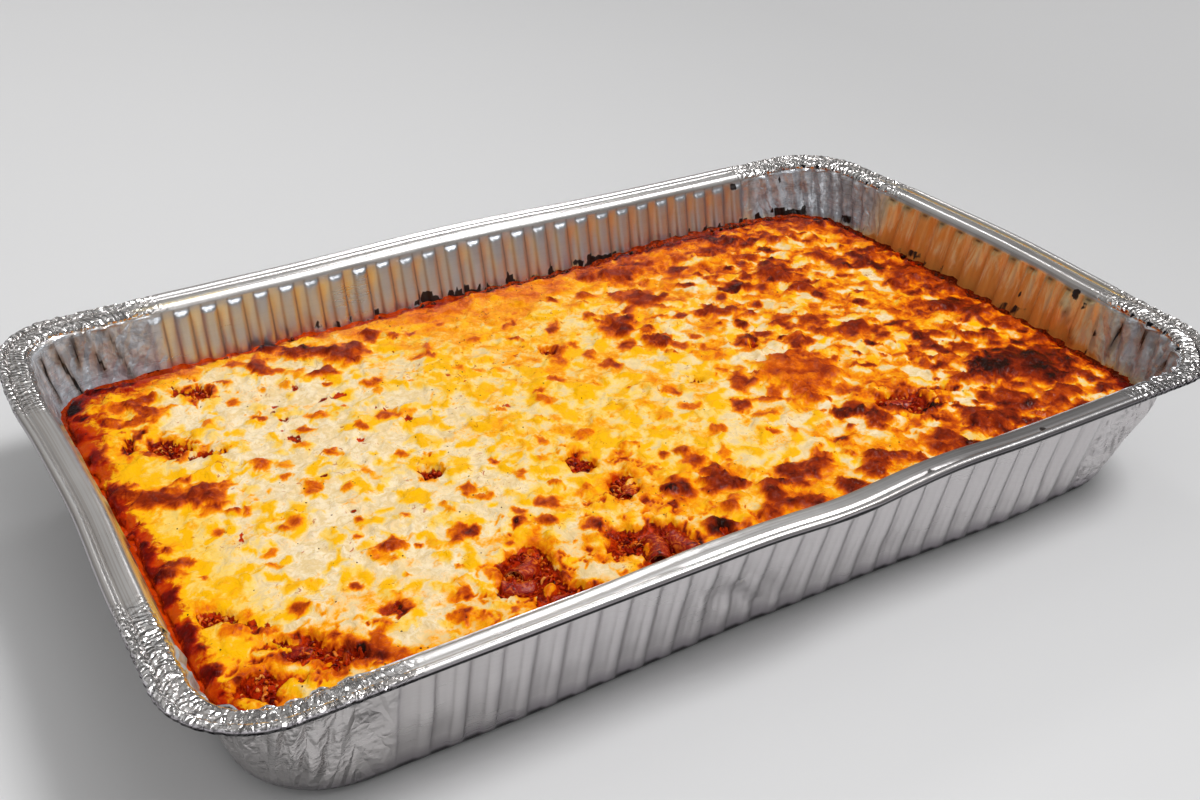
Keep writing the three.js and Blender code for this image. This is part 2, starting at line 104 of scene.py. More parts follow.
# helpers for meshes
def meshFrom(name, points, quads, triangles=(), values=None, vectors=None):
    quads = np.asarray(quads, dtype=np.int32).reshape(-1, 4)
    triangles = np.asarray(triangles, dtype=np.int32).reshape(-1, 3)
    mesh = bpy.data.meshes.new(name)
    mesh.vertices.add(len(points))
    mesh.vertices.foreach_set("co", (np.asarray(points, float) * mm).ravel())
    mesh.loops.add(quads.size + triangles.size)
    mesh.loops.foreach_set("vertex_index", np.concatenate([quads.ravel(), triangles.ravel()]))
    mesh.polygons.add(len(quads) + len(triangles))
    starts = np.concatenate([np.arange(len(quads)) * 4,
                             quads.size + np.arange(len(triangles)) * 3])
    mesh.polygons.foreach_set("loop_start", starts.astype(np.int32))
    mesh.polygons.foreach_set("use_smooth", np.ones(len(starts), dtype=bool))
    mesh.update(calc_edges=True)
    for key, value in (values or {}).items():
        layer = mesh.attributes.new(key, "FLOAT", "POINT")
        layer.data.foreach_set("value", np.asarray(value, np.float32).ravel())
    for key, value in (vectors or {}).items():
        layer = mesh.attributes.new(key, "FLOAT_VECTOR", "POINT")
        layer.data.foreach_set("vector", np.asarray(value, np.float32).ravel())
    piece = bpy.data.objects.new(name, mesh)
    bpy.context.scene.collection.objects.link(piece)
    return piece


def pointsOf(mesh):
    points = np.empty(len(mesh.vertices) * 3)
    mesh.vertices.foreach_get("co", points)
    return points.reshape(-1, 3) / mm


def ringFaces(rings, count, first=0, facesIn=False):
    # quads between rings that each have the same number of points
    ring, step = np.meshgrid(np.arange(rings - 1), np.arange(count), indexing="ij")
    after = (step + 1) % count
    corners = [ring * count + step, ring * count + after,
               (ring + 1) * count + after, (ring + 1) * count + step]
    if facesIn:
        corners.reverse()
    return first + np.stack(corners, axis=-1).reshape(-1, 4)


def fanFaces(start, count, centre, flip):
    # triangles from a ring of points to one at its middle
    step = np.arange(count)
    after = (step + 1) % count
    corners = [start + after, start + step, np.full(count, centre)]
    if flip:
        corners[0], corners[1] = corners[1], corners[0]
    return np.stack(corners, axis=-1)


def plainMesh(piece):
    # turns what the modifiers make into the piece's own mesh
    graph = bpy.context.evaluated_depsgraph_get()
    made = bpy.data.meshes.new_from_object(piece.evaluated_get(graph),
                                           preserve_all_data_layers=True, depsgraph=graph)
    piece.modifiers.clear()
    piece.data = made
    return piece


def finishPiece(piece, node=None):
    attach(piece, "root")
    if node:
        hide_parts(node)
    count = sum(len(face.vertices) - 2 for face in piece.data.polygons)
    print(f"{piece.name}: {count} triangles")


# helpers for node trees, which find the tree from the sockets that they join
def feed(socket, value):
    if isinstance(value, bpy.types.NodeSocket):
        socket.id_data.links.new(value, socket)
    elif value is not None:
        socket.default_value = value


def addNode(tree, kind, **settings):
    node = tree.nodes.new(kind)
    for key, value in settings.items():
        setattr(node, key, value)
    return node


def treeOf(*values):
    return next(value.id_data for value in values if isinstance(value, bpy.types.NodeSocket))


def calc(operation, *values, clamp=False):
    node = addNode(treeOf(*values), "ShaderNodeMath", operation=operation, use_clamp=clamp)
    for socket, value in zip(node.inputs, values):
        feed(socket, value)
    return node.outputs[0]


def times(first, second):
    return calc("MULTIPLY", first, second)


def plus(first, second):
    return calc("ADD", first, second)


def minus(first, second):
    return calc("SUBTRACT", first, second)


def timesPlus(value, factor, extra, clamp=False):
    return calc("MULTIPLY_ADD", value, factor, extra, clamp=clamp)


def vectorOf(x=0.0, y=0.0, z=0.0):
    node = addNode(treeOf(x, y, z), "ShaderNodeCombineXYZ")
    for socket, value in zip(node.inputs, (x, y, z)):
        feed(socket, value)
    return node.outputs[0]


def partsOf(vector):
    node = addNode(vector.id_data, "ShaderNodeSeparateXYZ")
    feed(node.inputs[0], vector)
    return node.outputs


def stepUp(value, low, high, least=0.0, most=1.0):
    # from least to most while the value goes from low to high, softly
    node = addNode(value.id_data, "ShaderNodeMapRange", interpolation_type="SMOOTHSTEP")
    for socket, entry in zip(node.inputs, (value, low, high, least, most)):
        feed(socket, entry)
    return node.outputs[0]


def attribute(tree, name):
    return addNode(tree, "ShaderNodeAttribute", attribute_name=name).outputs["Fac"]


def noiseValue(place, scale, detail=3.0, roughness=0.55, distortion=0.0):
    node = addNode(place.id_data, "ShaderNodeTexNoise")
    for name, value in (("Vector", place), ("Scale", scale), ("Detail", detail),
                        ("Roughness", roughness), ("Distortion", distortion)):
        feed(node.inputs[name], value)
    return node.outputs[0]


def facetHeight(place):
    # flat-sided cells with sharp valleys between them
    node = addNode(place.id_data, "ShaderNodeTexVoronoi", feature="DISTANCE_TO_EDGE",
                   voronoi_dimensions="2D")
    feed(node.inputs["Vector"], place)
    node.inputs["Scale"].default_value = 1.0
    return node.outputs["Distance"]


def colour(red, green, blue):
    # an everyday 0-255 colour as the shader's linear one
    def linear(value):
        value /= 255
        return value / 12.92 if value < 0.04045 else ((value + 0.055) / 1.055) ** 2.4
    return (linear(red), linear(green), linear(blue), 1.0)


def blend(share, first, second, mode="MIX"):
    node = addNode(treeOf(share, first, second), "ShaderNodeMix", data_type="RGBA",
                   blend_type=mode)
    for socket, value in zip((node.inputs["Factor"], *node.inputs[6:8]), (share, first, second)):
        feed(socket, value)
    return node.outputs[2]


def darker(shade, red, green, blue):
    return blend(1.0, shade, (red, green, blue, 1), "MULTIPLY")


def colourRamp(value, stops):
    node = addNode(value.id_data, "ShaderNodeValToRGB")
    feed(node.inputs[0], value)
    elements = node.color_ramp.elements
    for index, (place, shade) in enumerate(stops):
        element = elements[index] if index < 2 else elements.new(place)
        element.position = place
        element.color = colour(*shade)
    return node.outputs[0]


def newMaterial(name):
    material = bpy.data.materials.new(name)
    material.use_nodes = True
    tree = material.node_tree
    place = addNode(tree, "ShaderNodeTexCoord").outputs["Object"]
    return material, tree, tree.nodes["Principled BSDF"].inputs, place


def bump(surface, height, distance, strength=1.0, under=None):
    node = addNode(height.id_data, "ShaderNodeBump")
    for name, value in (("Strength", strength), ("Distance", distance), ("Height", height),
                        ("Normal", under)):
        feed(node.inputs[name], value)
    feed(surface["Normal"], node.outputs[0])
    return node.outputs[0]


def newGroup(name, sizes):
    # a Geometry Nodes tree with named inputs, and each input's identifier
    tree = bpy.data.node_groups.new(name, "GeometryNodeTree")
    kinds = [("Geometry", "Geometry")] + [(key, "Float") for key in sizes] + [
        ("Seed", "Int"), ("Material", "Material")]
    inputs = {key: tree.interface.new_socket(name=key, in_out="INPUT",
                                             socket_type="NodeSocket" + kind).identifier
              for key, kind in kinds}
    tree.interface.new_socket(name="Geometry", in_out="OUTPUT", socket_type="NodeSocketGeometry")
    return tree, inputs, addNode(tree, "NodeGroupInput").outputs


def named(tree, name, kind="FLOAT"):
    node = addNode(tree, "GeometryNodeInputNamedAttribute", data_type=kind)
    node.inputs["Name"].default_value = name
    return node.outputs["Attribute"]


def uneven(given, least, most, offset, number=None):
    # a random value between two, with a seed that depends on the tree's own
    node = addNode(given["Seed"].id_data, "FunctionNodeRandomValue", data_type="FLOAT")
    for socket, value in ((node.inputs[2], least), (node.inputs[3], most),
                          (node.inputs["ID"], number),
                          (node.inputs["Seed"], plus(given["Seed"], offset))):
        feed(socket, value)
    return node.outputs[1]


def endGroup(given, geometry):
    tree = geometry.id_data
    realize = addNode(tree, "GeometryNodeRealizeInstances")
    paint = addNode(tree, "GeometryNodeSetMaterial")
    feed(realize.inputs[0], geometry)
    feed(paint.inputs["Geometry"], realize.outputs[0])
    feed(paint.inputs["Material"], given["Material"])
    feed(addNode(tree, "NodeGroupOutput").inputs[0], paint.outputs[0])


def runGroup(piece, tree, inputs, values):
    modifier = piece.modifiers.new(tree.name, "NODES")
    modifier.node_group = tree
    for name, value in values.items():
        modifier[inputs[name]] = value
    plainMesh(piece)


# the way round the tray
tray = {
    "length": 527, "width": 325, "depth": 76,
    "foil": 0.45,
    "rimCorners": (47, 48, 34, 40),  # near right, far right, far left, near left
    "leastShoulderCorner": 24,
    "baseCorner": 43,
    "baseEdge": 8,
    "baseLift": 0.7,
    "wallSlope": 0.23,
    "shoulderHeight": 71, "shoulderInset": 14.7,
    "beadRadius": 2.1,
    "nearFlangeSag": 2,
    "ribPitch": 14, "ribsPerLongSide": 27, "ribsPerShortSide": 12,
    "cornerMargin": 10, "cornerSteps": 70,
}
# where the sides are bent: side, place along it, reach, depth outwards, low or not
bends = [
    ("far", -10, 75, 5.2, False), ("near", 10, 28, 3, False), ("near", 75, 25, -1.2, False),
    ("right", -5, 55, 3.7, False), ("right", 115, 25, -4, False),
    ("left", -8, 40, -1.7, False), ("left", 92, 30, 2.4, False),
    ("near", 125, 60, 2.6, True), ("near", -127, 50, 1.2, True),
]
ribPhases = (0.03, 0.10, 0.25, 0.40, 0.47, 0.54, 0.68, 0.82, 0.96)
ridgePhase = 0.75

longRibbed = tray["ribPitch"] * tray["ribsPerLongSide"] / 2
shortRibbed = tray["ribPitch"] * tray["ribsPerShortSide"] / 2
sides = [
    {"name": "near", "along": (1, 0), "out": (0, -1), "ribbed": longRibbed},
    {"name": "right", "along": (0, 1), "out": (1, 0), "ribbed": shortRibbed},
    {"name": "far", "along": (-1, 0), "out": (0, 1), "ribbed": longRibbed},
    {"name": "left", "along": (0, -1), "out": (-1, 0), "ribbed": shortRibbed},
]
cornerShares = np.arange(tray["cornerSteps"]) / tray["cornerSteps"]


def setStations(side, firstRib):
    # places along a side's straight stretch: a plain margin, the ribs, a plain margin
    margin, ribbed, pitch = tray["cornerMargin"], side["ribbed"], tray["ribPitch"]
    side["start"] = ribbed + margin
    ribs = round(2 * ribbed / pitch)
    inRibs = [(-ribbed + (rib + phase) * pitch, phase, firstRib + rib, 1)
              for rib in range(ribs) for phase in ribPhases]
    before = [(-ribbed - margin + step * margin / 2, 0.25, firstRib, 0) for step in range(2)]
    after = [(ribbed + step * margin / 2, 0.25, firstRib, 0) for step in range(2)]
    table = np.array(before + inRibs + after)
    side["places"], side["phases"], side["ribNumbers"], side["isRibbed"] = table.T
    return firstRib + ribs


ribCount = 0
for side in sides:
    ribCount = setStations(side, ribCount)


def aroundTray(key, cornerValue):
    # one value for each station, with the corners' own value
    cornerCount = tray["cornerSteps"]
    return np.concatenate([np.concatenate([side[key], np.full(cornerCount, cornerValue)])
                           for side in sides])


phaseAt = aroundTray("phases", 0.25)
ribNumberAt = aroundTray("ribNumbers", 0)
ribShareAt = aroundTray("isRibbed", 0)
stationCount = len(phaseAt)


def outlineAt(inset, radii):
    # the rounded rectangle at an inset from the rim, with its outward directions
    points, outs = [], []
    for index, side in enumerate(sides):
        along, out = np.array(side["along"]), np.array(side["out"])
        lengths = (tray["length"], tray["width"])
        reach = lengths[index % 2] / 2 - inset
        depth = lengths[1 - index % 2] / 2 - inset
        places = side["places"]
        radius = np.where(places > 0, radii[index], radii[index - 1])
        over = np.maximum(0, np.abs(places) - (reach - radius))
        turn = np.arcsin(over / radius)
        points.append(np.outer(places, along)
                      + np.outer(depth - radius + radius * np.cos(turn), out))
        outs.append(np.outer(np.sin(turn) * np.sign(places), along) + np.outer(np.cos(turn), out))
        radius = radii[index]
        start, end = side["start"], sides[(index + 1) % 4]["start"]
        firstStraight = max(0, reach - radius - start)
        lastStraight = max(0, depth - radius - end)
        firstTurn = math.asin(max(0, (start - (reach - radius)) / radius))
        lastTurn = math.acos(max(0, (end - (depth - radius)) / radius))
        arc = radius * (lastTurn - firstTurn)
        travelled = cornerShares * (firstStraight + arc + lastStraight)
        turn = np.clip(firstTurn + (travelled - firstStraight) / radius, firstTurn, lastTurn)
        across = (reach - radius + radius * np.sin(turn)
                  - np.maximum(0, firstStraight - travelled))
        away = (depth - radius + radius * np.cos(turn)
                - np.maximum(0, travelled - firstStraight - arc))
        points.append(np.outer(across, along) + np.outer(away, out))
        outs.append(np.outer(np.sin(turn), along) + np.outer(np.cos(turn), out))
    return np.concatenate(points), np.concatenate(outs)


def bendShift(x, y, z):
    # how far the bent sides move a point
    lift = np.clip(z / tray["depth"], 0, 1)
    shiftX, shiftY = np.zeros_like(x, dtype=float), np.zeros_like(y, dtype=float)
    for name, at, reach, depth, isLow in bends:
        side = next(entry for entry in sides if entry["name"] == name)
        outX, outY = side["out"]
        place = x if outX == 0 else y
        across = y * outY / (tray["width"] / 2) if outX == 0 else x * outX / (tray["length"] / 2)
        share = ((1 - lift) * np.clip(across / 0.75, 0, 1) ** 3 if isLow
                 else lift * np.maximum(0, across) ** 3)
        push = depth * np.exp(-((place - at) / reach) ** 2) * share
        shiftX += outX * push
        shiftY += outY * push
    return shiftX, shiftY


def wallInset(z):
    return tray["shoulderInset"] + tray["wallSlope"] * (tray["shoulderHeight"] - z)


def wallRadii(z):
    share = np.clip((tray["shoulderHeight"] - z) / tray["shoulderHeight"], 0, 1) ** 2.5
    least = tray["leastShoulderCorner"]
    return [mix(max(least, radius - tray["shoulderInset"]), tray["baseCorner"], share)
            for radius in tray["rimCorners"]]


def rimRadii(inset):
    return [radius - inset for radius in tray["rimCorners"]]


# the foil tray's finer sizes
foil = {
    "ribDepth": 2.3, "ridgeWidth": 0.62, "headHeight": 70.9, "headSoftness": 1.1,
    "archDrop": 2.0, "creaseDepth": 2.1, "seed": 4,
    "crimpSpacing": 2.3, "crimpHeight": 0.8, "crimpReach": 26, "crinkle": 0.5,
    "notchSpacing": 4.5, "notchDepth": 0.9, "notchReach": 1.3,
    "foldSpacing": 6.2, "foldSlant": 0.35,
    "waviness": 0.098, "handlingWaves": 0.3, "creaseReach": 2.2,
    "facetsFrom": 0.4, "facetsAbove": 73.6, "boxGap": 0.02, "topGap": 0.05,
}
# pushed-in places: middle, reach and depth
dents = [
    ((-34, -139, 31), 17, 1.8), ((-14, -136, 16), 13, 1.6), ((-48, -143, 46), 12, -0.8),
    ((-196, -143, 42), 16, 1.6), ((-170, -142, 30), 13, -1.0), ((-206, -146, 58), 9, 1.4),
    ((60, -140, 20), 14, 0.9), ((150, -139, 15), 16, -1.0), ((-110, -141, 24), 15, 0.8),
    ((-226, 134, 58), 12, -1.6), ((-214, 141, 64), 8, 1.2), ((246, -60, 60), 10, 1.2),
]
# sharp creases in the walls: both ends, width and depth, outwards where it is below zero;
# the first list's also get painted shade, a near-black line painted along them on the inner face
shadedCreases = [
    ((-236.8, 144.2, 69.9), (-226.1, 137.2, 37.3), 1.4, 1.5),
    ((-225.7, 147.5, 69.8), (-225.6, 144.6, 50), 1.2, 1.0),
    ((-220.6, 147.9, 71), (-214.2, 143, 50), 1.3, 1.2),
    ((-210.4, 147.9, 71.1), (-201.6, 141.2, 42), 1.4, 1.3),
    ((-243.6, 136.7, 67.2), (-239.8, 129.3, 46.2), 1.2, 1.2),
    ((247.5, -98, 66.5), (244, -95, 47), 1.4, 1.4), ((247.9, -112, 69), (243.5, -112, 54), 1.2, 1.0),
    ((240.5, -135, 71), (239.5, -128, 49), 1.6, 1.5), ((246, -60, 62), (242, -74, 46), 1.3, 1.0),
]
creases = shadedCreases + [
    ((-205, -150, 66), (-188, -142, 36), 1.5, 1.3), ((-196, -150, 68), (-200, -143, 40), 1.2, 1.0),
    ((-187, -149, 62), (-174, -142, 30), 1.4, 1.1), ((-212, -149, 60), (-207, -142, 34), 1.2, 1.0),
    ((-54, -143, 48), (-34, -138, 22), 2.0, 1.1), ((-34, -141, 44), (-16, -136, 26), 1.8, -0.9),
    ((-30, -140, 36), (-10, -135, 10), 2.0, 1.2), ((-14, -139, 32), (6, -134, 8), 1.8, 0.8),
    ((-160, -141, 26), (-140, -136, 8), 1.3, 0.9), ((96, -141, 34), (110, -136, 12), 1.2, 0.7),
]


def trayLevels():
    # up the inner face, round the bead and down the outer face; each level gives its
    # inset, height and radii, the shares of ribs, folds and crimps that it takes, and its painted
    # shade
    levels = []
    slopeLength = math.hypot(1, tray["wallSlope"])
    wallAngle = math.atan(tray["wallSlope"])
    edge, thick = tray["baseEdge"], tray["foil"]
    outerEdge = edge + tray["baseLift"]
    edgeInset = wallInset(outerEdge) + edge * slopeLength

    def add(inset, z, radii, ribs=0.0, folds=0.0, crimps=0.0, inside=1.0, shade=0.0):
        levels.append({"inset": inset, "z": z, "radii": radii, "ribs": ribs, "folds": folds,
                       "crimps": crimps, "inside": inside, "shade": shade})

    # the outer foot's edge gets painted shade, a dark line where the tray meets the floor
    def addEdge(radius, turns, inside):
        for turn in turns:
            angle = turn * (math.pi / 2 - wallAngle)
            z = outerEdge - radius * math.cos(angle)
            add(edgeInset - radius * math.sin(angle), z, wallRadii(z), turn ** 2, turn,
                inside=inside, shade=(1 - inside) * float(ease(9, 6, z)))

    def addWall(heights, inside):
        outwards = 0 if inside else thick * slopeLength
        for z in heights:
            add(wallInset(z) - outwards, z, wallRadii(z), 1, 1, inside=inside)

    innerHeights = [14, 18.5, 23, 27.5, 32, 36.5, 39, 41, 43, 45.5, 48, 50.5, 54.5, 59, 62.5,
                    65, 66.5, 67.8, 68.8, 69.5, 70.1, 70.6, 71.1]
    outerHeights = [71.0, 70.5, 70.0, 69.4, 68.6, 67.6, 66, 63, 59, 54.5, 50, 45.5, 41, 36.5,
                    32, 27.5, 23, 18.5, 14]
    addEdge(outerEdge - thick, (0, 0.4, 0.75), 1)
    addWall(innerHeights, 1)
    shoulder = [(14.5, 71.7, 0), (14.1, 72.5, 0), (13.6, 73.3, 0), (13.0, 74.0, 0.1),
                (12.3, 74.6, 0.25), (11.4, 74.86, 0.4), (9.6, 75.0, 0.5), (7.8, 74.92, 0.55),
                (6.2, 74.7, 0.6), (5.4, 74.4, 0.6), (4.8, 73.9, 0.5), (4.4, 73.7, 0.5)]
    for inset, z, crimps in shoulder:
        add(inset, z, rimRadii(inset), 0, 0.45 if inset > 13.8 else 0.15 * (inset > 12.5), crimps)
    bead, centre = tray["beadRadius"], tray["depth"] - tray["beadRadius"]
    # the bead's lower half gets painted shade, a dark line under the curl
    for turn in (10, 35, 60, 85, 108, 130, 155, 178, 205, 232, 262, 300):
        angle = math.radians(turn)
        inset = bead + bead * math.cos(angle)
        add(inset, centre + bead * math.sin(angle), rimRadii(inset), crimps=1,
            inside=1.0 if turn < 130 else 0.0, shade=float(ease(128, 170, turn)))
    # the flange's underside is painted all over with shade
    for inset, z, crimps in ((4.9, 73.2, 0.5), (6.3, 74.2, 0.5), (9.0, 74.45, 0.5),
                             (11.6, 74.3, 0.3), (12.8, 73.4, 0), (13.6, 72.2, 0)):
        add(inset, z, rimRadii(inset), 0, 1 if inset > 12.5 else 0, crimps, 0.0, 1.0)
    addWall(outerHeights, 0)
    addEdge(outerEdge, (1, 0.84, 0.67, 0.5, 0.33, 0.16, 0), 0)
    return levels


def ringPoints(level, crimp, foldOf):
    flat, outs = outlineAt(level["inset"], level["radii"])
    z = np.full(stationCount, float(level["z"]))
    x, y = flat.T
    if level["z"] > tray["shoulderHeight"] + 0.2 and level["inset"] > 5:
        z -= tray["nearFlangeSag"] * ease(50, 130, np.abs(x)) * ease(120, 145, -y)
    isBead = level["inset"] < 5 and level["ribs"] == 0
    crinkled = roughNoise(wayRound, 1.4 * level["inset"] + 40 * (level["z"] < 74.7), 2.6, 37, 2)
    crinkled = foil["crinkle"] * cornerWeight * crinkled
    if isBead:
        lifted = level["crimps"] * (foil["crimpHeight"] * crimp + crinkled)
        flat = flat + outs * np.minimum(0.7 * lifted - 0.25 * cornerWeight, 0)[:, None]
        z = z + 0.4 * lifted - 0.3 * cornerWeight
    else:
        cut = notchAt(wayRound + 0.5 * level["inset"])
        z = z + level["crimps"] * (0.6 * foil["crimpHeight"] * crimp + crinkled - cut)
    fold = level["folds"] * foldOf(level["z"])
    return np.column_stack([flat, z]), outs, fold


print("foil tray: levels and stations")
levels = trayLevels()
rimFlat, _ = outlineAt(0, rimRadii(0))
stepLengths = np.linalg.norm(np.roll(rimFlat, -1, axis=0) - rimFlat, axis=1)
wayRound = np.concatenate([[0], np.cumsum(stepLengths)[:-1]])
wholeWay = stepLengths.sum()
isCorner = aroundTray("isRibbed", 2) == 2
straightPlaces = np.abs(aroundTray("places", 0))
straightStarts = np.concatenate([np.full(len(side["places"]) + tray["cornerSteps"], side["start"])
                                 for side in sides])
toCorner = np.where(isCorner, 0, straightStarts - straightPlaces)
cornerWeight = ease(foil["crimpReach"], 0, toCorner)
foldWeight = ease(9, 0, toCorner) * (0.55 + 0.45 * isCorner)
foldWeight *= np.where((rimFlat[:, 0] < 0) & (rimFlat[:, 1] > 0), 0.4, 1)
crimpAt = zigzag(wayRound, foil["crimpSpacing"], 31) * cornerWeight
crimpAt += foil["waviness"] * softNoise(wayRound, 0 * wayRound, 21, 33)


def notchAt(way):
    # sharp little creases across the flange at the corners
    draw = np.random.default_rng(39)
    places = np.cumsum(draw.uniform(0.25, 1.6, 400) * foil["notchSpacing"]) - 20
    depths = draw.uniform(0.3, 1, 400) * foil["notchDepth"]
    nearest = np.clip(np.searchsorted((places[1:] + places[:-1]) / 2, way), 0, 399)
    share = np.maximum(0, 1 - np.abs(way - places[nearest]) / foil["notchReach"])
    return depths[nearest] * share * cornerWeight


def foldAt(z):
    slid = wayRound + foil["foldSlant"] * (tray["shoulderHeight"] - z)
    broad = zigzag(slid, foil["foldSpacing"], 35)
    fine = 0.35 * zigzag(slid * 1.3 + 0.5 * z, 4.3, 36)
    fade = ease(6, 30, z) * mix(0.55, 1, ease(20, 66, z))
    return (broad + fine) * foldWeight * fade


rings = [ringPoints(level, crimpAt, foldAt) for level in levels]
ringArrays = [ring[0] for ring in rings]
outArrays = [np.column_stack([ring[1], np.zeros(stationCount)]) for ring in rings]
foldArrays = [ring[2] for ring in rings]


def addFloorRings(source, shares, atEnd):
    # the flat base, in from its edge
    for share in shares:
        ring = source * np.array([share, share, 1])
        entry = (ring, np.zeros((stationCount, 3)), np.zeros(stationCount))
        for store, value in zip((ringArrays, outArrays, foldArrays), entry):
            if atEnd:
                store.append(value)
            else:
                store.insert(0, value)


addFloorRings(ringArrays[0], (0.55,), False)
addFloorRings(ringArrays[-1], (0.93, 0.8, 0.5), True)
ringCount = len(ringArrays)
plainRing = {"inset": 60.0}
levelRows = [{**plainRing, "inside": 1.0}] + levels + 3 * [plainRing]
tail = np.zeros(2)


def byStation(values):
    # the same on every ring, and nothing at the two middle points
    return np.concatenate([np.tile(values, ringCount), tail])


def byLevel(values):
    return np.concatenate([np.repeat(values, stationCount), tail])


def levelValues(key):
    return [row.get(key, 0.0) for row in levelRows]


insetRows = levelValues("inset")
heightRows = [ring[:, 2].mean() for ring in ringArrays]
acrossRows = np.concatenate([[0], np.cumsum(np.hypot(np.diff(insetRows), np.diff(heightRows)))])
trayPoints = np.concatenate(ringArrays + [np.array([[0, 0, tray["foil"]], [0, 0, 0.0]])])
trayOut = np.concatenate(outArrays + [np.zeros((2, 3))])
inside, ribRows = byLevel(levelValues("inside")), byLevel(levelValues("ribs"))
# handling has flattened the ribs near the near left corner
flattened = 1 - 0.75 * ease(-162, -188, rimFlat[:, 0]) * (rimFlat[:, 1] < 0)
fromRidge = np.abs(phaseAt - ridgePhase)
fromRidge = np.minimum(fromRidge, 1 - fromRidge)
# painted soft shadows along the feet of the ribs
grooveSides = byStation(ribShareAt * np.exp(-((fromRidge - 0.28) / 0.05) ** 2)) * ribRows
oneSide = byStation((phaseAt < ridgePhase) & (phaseAt > 0.3))
grooveSides *= np.where(inside > 0.5, 0.6, 0.4 * oneSide)
paintedShade = np.maximum(byLevel(levelValues("shade")), grooveSides)
trayValues = {
    "phase": byStation(phaseAt), "ribNumber": byStation(ribNumberAt),
    "ribShare": byStation(ribShareAt * flattened) * ribRows,
    "fold": np.concatenate(foldArrays + [tail]), "inside": inside, "paintedShade": paintedShade,
    "corner": byStation(cornerWeight) * byLevel([1.0 if height > 71.6 else 0.12
                                                 for height in heightRows]),
    "around": byStation(np.abs(wayRound - wholeWay / 2)) * mm, "across": byLevel(acrossRows) * mm,
}
topCentre = ringCount * stationCount
trayTriangles = np.concatenate([
    fanFaces(0, stationCount, topCentre, True),
    fanFaces((ringCount - 1) * stationCount, stationCount, topCentre + 1, True)])
foilTray = meshFrom("foilTray", trayPoints, ringFaces(ringCount, stationCount, facesIn=True),
                    trayTriangles, trayValues, {"outward": trayOut})


def pressedFoil():
    # presses the ribs and the corner folds into the walls
    tree, inputs, given = newGroup("pressedFoil", (
        "Rib Depth", "Ridge Width", "Head Height", "Head Softness", "Arch Drop", "Crease Depth"))
    z = partsOf(addNode(tree, "GeometryNodeInputPosition").outputs[0])[2]
    ribNumber = named(tree, "ribNumber")
    # 0 on the ridge's crest, 1 at its foot, more on the panel
    fromRidge = calc("ABSOLUTE", minus(named(tree, "phase"), ridgePhase))
    fromRidge = calc("MINIMUM", fromRidge, minus(1.0, fromRidge))
    across = calc("DIVIDE", fromRidge, times(given["Ridge Width"], 0.5))
    ridge = stepUp(across, 1.16, 0.64)
    press = times(timesPlus(ridge, -2.0, 1.0), uneven(given, 0.82, 1.12, 0, ribNumber))
    arch = times(given["Arch Drop"], timesPlus(calc("POWER", across, 2.0), -0.7, 1.0, clamp=True))
    head = plus(given["Head Height"], uneven(given, -0.0005, 0.0005, 1, ribNumber))
    head = minus(head, arch)
    # a ridge ends in a short sloping cap, and a groove fades out slowly
    softness = times(given["Head Softness"], timesPlus(ridge, -12.0, 13.0))
    fades = times(stepUp(z, plus(head, given["Head Softness"]), minus(head, softness)),
                  stepUp(z, 0.002, 0.011))
    depth = times(times(times(given["Rib Depth"], 0.5), press), times(fades, named(tree, "ribShare")))
    moved = timesPlus(named(tree, "fold"), given["Crease Depth"], depth)
    offset = addNode(tree, "ShaderNodeVectorMath", operation="SCALE")
    feed(offset.inputs[0], named(tree, "outward", "FLOAT_VECTOR"))
    feed(offset.inputs["Scale"], moved)
    place = addNode(tree, "GeometryNodeSetPosition")
    feed(place.inputs["Geometry"], given["Geometry"])
    feed(place.inputs["Offset"], offset.outputs[0])
    endGroup(given, place.outputs[0])
    return tree, inputs


# the foil's shades, among them painted shade for shadows, for the outer face's left end and for a
# dark reflection on the near flange; the burnt colour also paints shade into sharp creases
foilShades = {
    "dull": colour(216, 214, 214), "bright": colour(236, 234, 233),
    "outerRight": colour(210, 206, 207), "outerLeftShaded": colour(195, 191, 190),
    "innerWall": colour(218, 223, 230),
    "crumpled": colour(152, 156, 162), "smoothed": colour(192, 197, 204),
    "nearFlangeDimReflection": colour(122, 121, 124), "shadow": colour(22, 21, 23),
    "stain": colour(255, 228, 162), "deepStain": colour(226, 150, 66), "burnt": colour(24, 13, 9),
}


